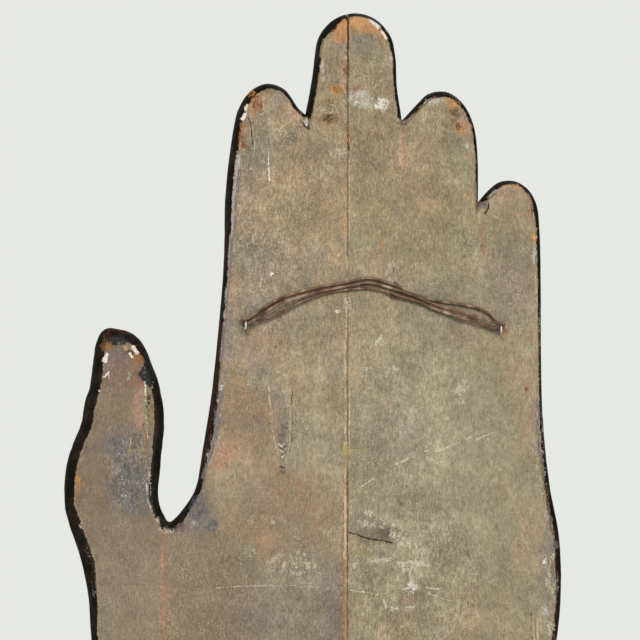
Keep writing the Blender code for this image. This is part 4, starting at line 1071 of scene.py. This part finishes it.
def backPaintMaterial(name, middle, warm, cool):
    # Pine under one thin coat of oil paint, brushed with the grain and weathered matt: fine upright
    # fibres, grit and dull blotches, pale and dark flecks in loose clusters, tone drifting warm to cool.
    material, tree, place = newMaterial(name)
    fibre = noiseAt(tree, place, 900.0, 2.0, 0.5, (1.0, 1.0, 0.24))
    grit = noiseAt(tree, place, 760.0, 2.0, 0.65)
    blot = noiseAt(tree, place, 230.0, 4.0, 0.62, (1.0, 1.0, 0.6))
    patch = noiseAt(tree, place, 85.0, 3.0, 0.6, (1.0, 1.0, 0.75), (4.0, 0.0, 9.0))
    cloud = noiseAt(tree, place, 30.0, 4.0, 0.6)
    total = weighed(tree, ((fibre, 0.38), (grit, 0.44), (blot, 0.32), (patch, 0.26), (cloud, 0.34)), -0.87)
    lively = add(tree, "ShaderNodeAttribute", attribute_name="lively").outputs["Fac"]
    total = add(tree, "MULTIPLY", total, lively)
    warmer = noiseAt(tree, place, 44.0, 4.0, 0.66, (1.0, 1.0, 0.7), (3.0, 1.0, 2.0))
    cooler = noiseAt(tree, place, 36.0, 4.0, 0.66, (1.0, 1.0, 0.8), (7.0, 5.0, 1.0))
    tone = add(tree, "mix", add(tree, "softRange", warmer, 0.44, 0.62, 0.0, 0.85), linear(middle),
               linear(warm))
    tone = add(tree, "mix", add(tree, "softRange", cooler, 0.46, 0.64, 0.0, 0.85), tone, linear(cool))
    stainAndShade = add(tree, "ShaderNodeAttribute", attribute_name="stainAndShade").outputs
    stainAndShadeShare = add(tree, "MULTIPLY", stainAndShade["Alpha"], weighed(tree, ((blot, 3.2), (cloud, 1.2)), -1.2),
                 use_clamp=True)
    tone = add(tree, "mix", stainAndShadeShare, tone, stainAndShade["Color"])
    paint = add(tree, "tint", 1.0, tone, add(tree, "POWER", 30.0, total))
    tint = add(tree, "noise", place, 420.0, 2.0).outputs["Color"]
    paint = add(tree, "mix", 0.08, paint, tint, blend_type="OVERLAY")
    cluster = noiseAt(tree, place, 52.0, 3.0, 0.6, None, (1.0, 6.0, 3.0))
    speck = noiseAt(tree, place, 640.0, 2.0, 0.6, (1.0, 1.0, 0.8), (0.9, 4.2, 2.3))
    speck = weighed(tree, ((speck, 1.0), (cluster, 0.42)), -0.21)
    paleColour = add(tree, "ramp", noiseAt(tree, place, 170.0, 2.0), stops=(
        (0.36, "#c79f7a"), (0.47, "#cdbd98"), (0.56, "#d6cbb4"), (0.66, "#c8c2b6")))
    pale = add(tree, "MULTIPLY", add(tree, "softRange", speck, 0.635, 0.70, 0.0, 0.6), lively)
    paint = add(tree, "mix", pale, paint, paleColour)
    soil = noiseAt(tree, place, 600.0, 3.0, 0.65, None, (3.1, 1.7, 0.4))
    soil = weighed(tree, ((soil, 1.0), (cluster, -0.30)), 0.15)
    paint = add(tree, "mix", add(tree, "softRange", soil, 0.63, 0.71, 0.0, 0.42), paint, linear("#5a4a35"))
    coat, worn, blackColour = blackCoat(tree, place)
    paint = add(tree, "mix", add(tree, "softRange", worn, 0.0, 1.0, 0.0, 0.8), paint, linear("#a98c69"))
    finished, flakeAndShadeMask = flakesAndShadeOver(tree, place, fibre, add(tree, "mix", coat, paint, blackColour))
    height = weighed(tree, ((coat, 0.35), (flakeAndShadeMask, -0.35), (speck, 0.5)), total)
    rough = add(tree, "softRange", coat, 0.0, 1.0, 0.82, 0.7)
    surfaced(tree, finished, rough, (height, 0.00042, 0.7), ior=1.45, specular=0.2)
    return material


def blackEdgeMaterial():
    # Old lamp-black oil paint over the whittled edge: dull, with brown patches for thin paint and painted
    # sheen, nicked to the wood.
    material, tree, place = newMaterial("lampBlackEdgePaint")
    coat, worn, blackColour = blackCoat(tree, place)
    stainAndShade = add(tree, "ShaderNodeAttribute", attribute_name="stainAndShade").outputs
    bare = add(tree, "mix", stainAndShade["Alpha"], linear("#8b7b65"), stainAndShade["Color"])
    shade = add(tree, "range", noiseAt(tree, place, 520.0, 4.0, 0.7), 0.3, 0.7, 0.62, 1.25)
    paint = add(tree, "mix", coat, add(tree, "tint", 1.0, bare, shade), blackColour)
    nick = add(tree, "softRange", noiseAt(tree, place, 330.0, 4.0, 0.7), 0.66, 0.70, 0.0, 0.7)
    paint = add(tree, "mix", nick, paint, linear("#5d4431"))
    fibre = noiseAt(tree, place, 700.0, 3.0, 0.6, (1.0, 1.0, 0.1))
    finished, flakeAndShadeMask = flakesAndShadeOver(tree, place, fibre, paint)
    grit = noiseAt(tree, place, 620.0, 4.0, 0.65)
    height = weighed(tree, ((flakeAndShadeMask, -0.5),), grit)
    rough = add(tree, "range", grit, 0.3, 0.7, 0.66, 0.9)
    surfaced(tree, finished, rough, (height, 0.0003, 0.6), ior=1.45, specular=0.02)
    return material


def palmPaintMaterial():
    # Ivory oil paint over the palm side, yellowed and finely crazed, with its lines in lamp black.
    material, tree, place = newMaterial("yellowedIvoryPalmPaint")
    grain = noiseAt(tree, place, 620.0, 3.0, 0.5, (1.0, 1.0, 0.05))
    mottle = noiseAt(tree, place, 26.0, 5.0, 0.6)
    base = add(tree, "ramp", weighed(tree, ((grain, 0.4), (mottle, 0.6)), 0.0), stops=(
        (0.36, "#a08a62"), (0.46, "#c6b288"), (0.56, "#d8c79f"), (0.66, "#e4d7b4")))
    crazing = add(tree, "ShaderNodeTexVoronoi", place, None, 260.0, feature="DISTANCE_TO_EDGE")
    crack = add(tree, "range", crazing.outputs["Distance"], 0.0, 0.06, 0.55, 0.0)
    paint = add(tree, "mix", crack, base, linear("#6d5636"))
    drawn = add(tree, "ShaderNodeAttribute", attribute_name="palmLine").outputs["Fac"]
    torn = noiseAt(tree, place, 420.0, 4.0, 0.5)
    field = weighed(tree, ((torn, 2.4), (drawn, 1.0)), -1.2)
    paint = add(tree, "mix", add(tree, "softRange", field, -0.1, 0.2), paint, linear("#2a1f18"))
    lost = add(tree, "range", noiseAt(tree, place, 95.0, 5.0, 0.68, (1.0, 1.0, 0.45)), 0.65, 0.67)
    wood = add(tree, "ramp", grain, stops=((0.35, "#8a6038"), (0.65, "#bd8c5a")))
    paint = add(tree, "mix", lost, paint, wood)
    coat, worn, blackColour = blackCoat(tree, place)
    paint = add(tree, "mix", worn, paint, linear("#9a7750"))
    paint = add(tree, "mix", coat, paint, blackColour)
    height = weighed(tree, ((lost, -0.8),), grain)
    rough = add(tree, "range", coat, 0.0, 1.0, 0.62, 0.44)
    surfaced(tree, paint, rough, (height, 0.0003, 0.5), ior=1.48)
    return material


def barePineMaterial():
    # Planed pine in the joint: orange-brown with age, its grain running up the board.
    material, tree, place = newMaterial("agedPlanedPine")
    grain = noiseAt(tree, place, 480.0, 4.0, 0.5, (1.0, 1.0, 0.04))
    colour = add(tree, "ramp", grain, stops=((0.34, "#7b4f2c"), (0.5, "#a87445"), (0.66, "#c6935f")))
    surfaced(tree, colour, 0.78, (grain, 0.0002, 0.4), ior=1.45)
    return material


# building a board
def circleOf(centre, radius, count):
    angles = np.arange(count) * 2 * math.pi / count
    return np.array(centre) + radius * np.column_stack((np.cos(angles), np.sin(angles)))


def insidePoints(border, candidates, clearance):
    kept = candidates[insideOf(candidates, border)]
    return kept[distanceTo(kept, np.vstack((border, border[:1]))) > clearance]


def rimRows(ring, side):
    # Rows of points just inside the rim, so that the arris has its own narrow band of faces.
    inward = -side * sideways(ring)
    return np.vstack([ring + inward * reach for reach in boardLook["rimRows"]])


def clearOf(points, centre, reach):
    return points[np.linalg.norm(points - centre, axis=1) > reach]


def seamArris(ring, side, front):
    # Points up the seam's border, let down by an uneven chamfer.
    look = boardLook
    top = ring[0][2]
    zs = np.linspace(0, top, max(3, round(top / look["seamStep"])))[1:-1]
    depth = look["seamChamfer"] * (1 + 0.8 * roughness([(0, 0, z) for z in zs], "seam"))
    return np.column_stack((seamAt(zs, side), (-1 if front else 1) * (look["half"] - depth), zs))


def edgeParts(rings):
    count = len(rings[0])
    quads = [(r * count + i, r * count + i + 1, (r + 1) * count + i + 1, (r + 1) * count + i)
             for r in range(len(rings) - 1) for i in range(count - 1)]
    return [(rings.reshape(-1, 3), quads, 1)]


def boreWall(circle, ends, placed):
    # The wall and the blind end of a bore, from its circle and its two depths.
    count = len(circle)
    faces = [(i, (i + 1) % count, count + (i + 1) % count, count + i) for i in range(count)]
    faces.append(tuple(range(count, 2 * count)))
    return np.vstack([placed(circle, end) for end in ends]), faces, 3


def faceParts(ring, arris, side, front, eye):
    # A flat face, its mesh finer where marks need it. The back has the screw eye's pilot hole.
    look = boardLook
    rim = np.vstack((ring, arris))
    border = rim[:, (0, 2)]
    beside = np.column_stack((arris[:, 0] + side * look["seamRow"], arris[:, 2]))
    marks = thinned(np.vstack((beside, palmPoints() if front else markPoints())), look["markCell"])
    grid = gridOver(border, look["frontStep"] if front else look["faceStep"], 11)
    inner = thinned(np.vstack((insidePoints(border, rimRows(ring[:, (0, 2)], side), look["rimClear"]),
                               insidePoints(border, marks, look["markClear"]),
                               insidePoints(border, grid, look["gridClear"]))), look["meshCell"])
    holes = [] if front else [circleOf((eye[0], eye[2]), look["pilotRadius"], 16)]
    if holes:
        inner = clearOf(inner, np.array((eye[0], eye[2])), look["pilotRadius"] + look["pilotClear"])
    corners, faces = triangles(border, inner, holes)
    face = onFace(corners, -look["half"] if front else look["half"])
    face[:len(rim), 1] = rim[:, 1]
    return [(face, faces, 2 if front else 0)] + [
        boreWall(hole, (look["half"], look["half"] - look["pilotDepth"]), onFace) for hole in holes]


def onFace(flat, y):
    return np.column_stack((flat[:, 0], np.full(len(flat), y), flat[:, 1]))


def onSeamAt(flat, x):
    return np.column_stack((np.broadcast_to(x, len(flat)), flat[:, 1], flat[:, 0]))


def seamParts(rings, arrises, side):
    # The planed face of the joint, with the bores for the dowels.
    look = boardLook
    rim = np.vstack((rings[:, -1], arrises[0], rings[::-1, 0], arrises[1][::-1]))
    border = rim[:, (2, 1)]
    holes = [circleOf((z, 0.0), look["boreRadius"], 24) for z in look["boreHeights"]]
    inner = insidePoints(border, gridOver(border, look["seamGrid"], 5), look["seamClear"])
    for hole in holes:
        inner = clearOf(inner, hole.mean(axis=0), look["boreRadius"] + look["boreClear"])
    corners, faces = triangles(border, inner, holes)
    face = onSeamAt(corners, seamAt(corners[:, 0], side))
    face[:len(rim)] = rim
    ends = (look["seamX"] + side * look["fitGap"] / 2, look["seamX"] + side * look["boreDepth"])
    return [(face, faces, 3)] + [boreWall(hole, ends, onSeamAt) for hole in holes]


def makeBoard(name, node, side, eye, materials):
    rings = edgeRings(boardOutline(node, side), side)
    back, front = rings[-1], rings[0]
    arrises = [seamArris(back, side, False), seamArris(front, side, True)]
    parts = (edgeParts(rings) + faceParts(back, arrises[0], side, False, eye)
             + faceParts(front, arrises[1], side, True, eye) + seamParts(rings, arrises, side))
    mesh, openEdges = joinedMesh(name, parts)
    place = weathered(mesh)
    paintBoard(mesh, place, side, rings)
    for material in materials:
        mesh.materials.append(material)
    mesh.shade_smooth()
    mesh.set_sharp_from_angle(angle=math.radians(boardLook["sharpAngle"]))
    piece = inScene(name, mesh)
    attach(piece, "sign")
    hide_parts(node)
    mesh.calc_loop_triangles()
    print(name, len(mesh.loop_triangles), "triangles,", openEdges, "open edges")


def joinedMesh(name, parts):
    # One closed mesh from the board's faces, each with its number in the list of materials.
    points, faces, kinds = [], [], []
    for corners, polygons, kind in parts:
        start = sum(len(p) for p in points)
        points.append(corners)
        faces += [tuple(start + i for i in polygon) for polygon in polygons]
        kinds += [kind] * len(polygons)
    mesh = bpy.data.meshes.new(name)
    mesh.from_pydata(np.vstack(points).tolist(), [], faces)
    mesh.polygons.foreach_set("material_index", kinds)
    shape = bmesh.new()
    shape.from_mesh(mesh)
    bmesh.ops.remove_doubles(shape, verts=shape.verts, dist=2e-6)
    bmesh.ops.recalc_face_normals(shape, faces=shape.faces)
    openEdges = sum(1 for edge in shape.edges if len(edge.link_faces) != 2)
    shape.to_mesh(mesh)
    shape.free()
    return mesh, openEdges


def weathered(mesh):
    # Sinks the hollows into the back and lets both faces swell unevenly. Returns the points' places.
    look = boardLook
    place = np.zeros(len(mesh.vertices) * 3)
    mesh.vertices.foreach_get("co", place)
    place = place.reshape(-1, 3)
    place[:, 1] -= np.where(place[:, 1] > look["half"] * look["faceFrom"], hollowDepth(place), 0)
    swell = np.sign(place[:, 1]) * look["swell"] * (1 + roughness(place, "face"))
    place[:, 1] -= np.where(np.abs(place[:, 1]) > look["half"] * look["swellFrom"], swell, 0)
    mesh.vertices.foreach_set("co", place.ravel())
    return place


def blackReach(place, side, rings):
    # Millimetres from the back's or the front's rim, below zero on its flat face.
    black = np.zeros(len(place))
    for upper, ring in ((True, rings[-1]), (False, rings[0])):
        chosen = (place[:, 1] >= 0) == upper
        flat = place[chosen][:, (0, 2)]
        line = ring[:, (0, 2)]
        tested = flat.copy()
        near = np.abs(flat[:, 0] - seamAt(flat[:, 1], side)) < boardLook["seamRow"]
        tested[near, 0] += side * boardLook["seamNudge"]
        rim = distanceTo(flat, line) * 1000
        black[chosen] = np.where(insideOf(tested, line), -rim, rim)
    return black


def paintBoard(mesh, place, side, rings):
    # Point attributes that the materials read: flakes and stains with painted shade among them, reach of the
    # black edge, palm lines.
    look = boardLook
    px, py = pictureOf(place)
    seen = place[:, 1] > look["seenFrom"]
    onSeam = (np.abs(place[:, 0] - seamAt(place[:, 2], side)) < 0.0001) & (np.abs(place[:, 1]) < 0.0120)
    reach = sum(softened(patchField(px, py, box), soft) * extra for extra, soft, *box in blackZones)
    black = blackReach(place, side, rings) + look["blackWander"] * (1 + roughness(place, "black"))
    black = np.where(onSeam, look["seamBlack"], black + np.where(seen, reach, 0))
    lively = np.full(len(place), look["lively"])
    for factor, soft, *box in grainZones:
        lively += softened(patchField(px, py, box), soft) * (factor - lively)
    flakeAndShadeColour, flakeAndShadeAmount, stainAndShadeColour, stainAndShadeAmount = painted(place)
    keepOn(mesh, "flakeAndShade", np.column_stack((flakeAndShadeColour, np.where(seen, flakeAndShadeAmount, 0))))
    keepOn(mesh, "stainAndShade", np.column_stack((stainAndShadeColour, stainAndShadeAmount)))
    for label, values in (("black", black), ("palmLine", palmField(place)), ("lively", lively)):
        keepOn(mesh, label, values)


edgePaint, palmPaint, pine = blackEdgeMaterial(), palmPaintMaterial(), barePineMaterial()
thumbPaint = backPaintMaterial("weatheredBrownOlivePaint", "#98876f", "#9e876d", "#928672")
littlePaint = backPaintMaterial("weatheredOlivePaint", "#988a71", "#9f8c73", "#918870")
makeBoard("thumbSideBoardPainted", "thumb_side_board", 1, eyeLook["thumb"],
          (thumbPaint, edgePaint, palmPaint, pine))
makeBoard("littleFingerSideBoardPainted", "little_finger_side_board", -1, eyeLook["little"],
          (littlePaint, edgePaint, palmPaint, pine))


# screw eyes
def screwEyeTree():
    # Round wire swept along the eye, with a thread wound on the lower shank.
    look = eyeLook
    tree, given = newTree("screwEye", Wire="Float", Step="Float", Foot="Vector", ThreadPitch="Float",
                          ThreadHeight="Float", ThreadLength="Float", Material="Material")
    sampled = add(tree, "GeometryNodeResampleCurve", given["Geometry"], None, None, given["Step"],
                  mode="LENGTH")
    half = add(tree, "MULTIPLY", given["Wire"], 0.5)
    body = add(tree, "GeometryNodeCurveToMesh", sampled, add(tree, "circle", look["sides"], half),
               add(tree, "GeometryNodeInputRadius"), True)
    turns = add(tree, "DIVIDE", given["ThreadLength"], given["ThreadPitch"])
    helix = add(tree, "GeometryNodeCurveSpiral", look["threadSteps"], turns, half, half,
                given["ThreadLength"])
    upright = add(tree, "GeometryNodeTransform", helix, given["Foot"], (-math.pi / 2, 0, 0))
    ridge = add(tree, "circle", look["threadSides"], given["ThreadHeight"])
    thread = add(tree, "GeometryNodeCurveToMesh", upright, ridge, None, True)
    joined = add(tree, "GeometryNodeJoinGeometry", thread)
    tree.links.new(body.outputs[0], joined.inputs[0])
    return finishTree(tree, joined, given["Material"])


def zincMaterial():
    # Zinc-plated steel wire, drawn and bent: dull grey with brown rust coming through.
    material, tree, place = newMaterial("dullZincPlatedWire")
    rust = noiseAt(tree, place, 420.0, 4.0, 0.65)
    mask = add(tree, "softRange", rust, 0.50, 0.62)
    colour = add(tree, "mix", mask, linear("#c9c3ba"), linear("#5c4030"))
    surfaced(tree, colour, add(tree, "range", mask, 0.0, 1.0, 0.34, 0.72), (rust, 0.0001, 0.6),
             metallic=add(tree, "range", mask, 0.0, 1.0, 1.0, 0.25))
    return material


def eyeRoute(place):
    # Up the shank from its point, round the neck and once round the ring.
    look = eyeLook
    foot = -(look["standoff"] + look["shank"])
    rows = [((0, foot, 0), look["point"]), ((0, foot + look["pointLength"], 0), 1.0),
            ((0, -look["radius"] - look["neck"], 0), 1.0),
            ((0, -look["radius"] - 0.4 * look["neck"], 0.2 * look["neck"]), 1.0)]
    last = look["ringPoints"] - 1
    for i in range(last + 1):
        angle = math.radians(look["ringFrom"] + (look["ringTo"] - look["ringFrom"]) * i / last)
        rows.append(((0, math.sin(angle) * look["radius"], math.cos(angle) * look["radius"]), 1.0))
    turned = hingeFrame(place)
    return [(turned @ Vector(row), thickness) for row, thickness in rows]


def makeEyes():
    look = eyeLook
    tree, zinc = screwEyeTree(), zincMaterial()
    for name, node, place in (("thumbSideScrewEye", "thumb_side_screw_eye", look["thumb"]),
                              ("littleFingerSideScrewEye", "little_finger_side_screw_eye", look["little"])):
        foot = (place[0], place[1] - look["standoff"] - look["shank"] + look["threadStart"], place[2])
        piece = grown(polyCurve(name + "Route", eyeRoute(place)), tree, name, Wire=look["wire"],
                      Step=look["step"], Foot=foot, ThreadPitch=look["threadPitch"],
                      ThreadHeight=look["threadHeight"], ThreadLength=look["threadLength"], Material=zinc)
        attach(piece, "sign")
        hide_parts(node)
    print("screw eyes made")


makeEyes()


def birchMaterial():
    # Turned birch dowel, bare: pale tan with fine darker pores drawn out along the dowel.
    material, tree, place = newMaterial("bareTurnedBirch")
    pores = noiseAt(tree, place, 1400.0, 3.0, 0.5, (0.06, 1.0, 1.0))
    colour = add(tree, "ramp", pores, stops=((0.34, "#a67e4c"), (0.52, "#c8a675"), (0.66, "#d9bc8e")))
    surfaced(tree, colour, 0.6, ior=1.45)
    return material


birch = birchMaterial()
for node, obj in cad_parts.items():
    if node.startswith("edge_dowel"):
        obj.data.materials.clear()
        obj.data.materials.append(birch)


# floor, light and air
studio = {"air": "#e6e8e4", "ambient": 0.42, "floor": "#dcdad4", "floorRadius": 5.0,
          "fadeFrom": 0.9, "fadeTo": 1.5, "lampsAim": (0, 0, 0.34)}
# each lamp's azimuth and elevation in degrees, distance and size in metres, and power in watts
lamps = (("keyBack", 160, 24, 2.6, 0.6, 37.0), ("fillBack", 205, 12, 3.0, 1.6, 17.0),
         ("keyFront", -25, 45, 2.6, 0.8, 40.0), ("fillFront", 40, 10, 3.0, 1.6, 18.0))


def makeFloor():
    mesh = bpy.data.meshes.new("floor")
    shape = bmesh.new()
    bmesh.ops.create_circle(shape, cap_ends=True, segments=96, radius=studio["floorRadius"])
    shape.to_mesh(mesh)
    shape.free()
    material, tree, place = newMaterial("palePaperFloor")
    far = add(tree, "ShaderNodeVectorMath", place, operation="LENGTH")
    fade = add(tree, "softRange", far, studio["fadeFrom"], studio["fadeTo"])
    paper = add(tree, "ShaderNodeBsdfDiffuse", linear(studio["floor"]))
    mixed = add(tree, "ShaderNodeMixShader", fade, paper, add(tree, "ShaderNodeBsdfTransparent"))
    add(tree, "ShaderNodeOutputMaterial", mixed)
    mesh.materials.append(material)
    floor = inScene("floor", mesh)


def makeAir():
    # The camera and reflections see a plain pale air; the object gets a weaker even light from it.
    air = bpy.data.worlds.new("paleAir")
    air.use_nodes = True
    tree = air.node_tree
    tree.nodes.clear()
    path = add(tree, "ShaderNodeLightPath").outputs
    through = add(tree, "MAXIMUM", path["Is Glossy Ray"], path["Is Transmission Ray"])
    seen = add(tree, "MAXIMUM", path["Is Camera Ray"], through)
    strength = add(tree, "range", seen, 0.0, 1.0, studio["ambient"], 1.0)
    add(tree, "ShaderNodeOutputWorld", add(tree, "ShaderNodeBackground", linear(studio["air"]), strength))
    scene.world = air


def makeLamps():
    for name, azimuth, elevation, distance, size, power in lamps:
        a, e = math.radians(azimuth), math.radians(elevation)
        back = Vector((math.sin(a) * math.cos(e), -math.cos(a) * math.cos(e), math.sin(e)))
        lamp = bpy.data.lights.new(name, "AREA")
        lamp.shape = "SQUARE"
        lamp.size = size
        lamp.energy = power
        aimed(inScene(name, lamp), Vector(studio["lampsAim"]) + back * distance, back)


makeFloor()
makeAir()
makeLamps()
scene.view_settings.view_transform = "Standard"
print("stage and lamps placed")
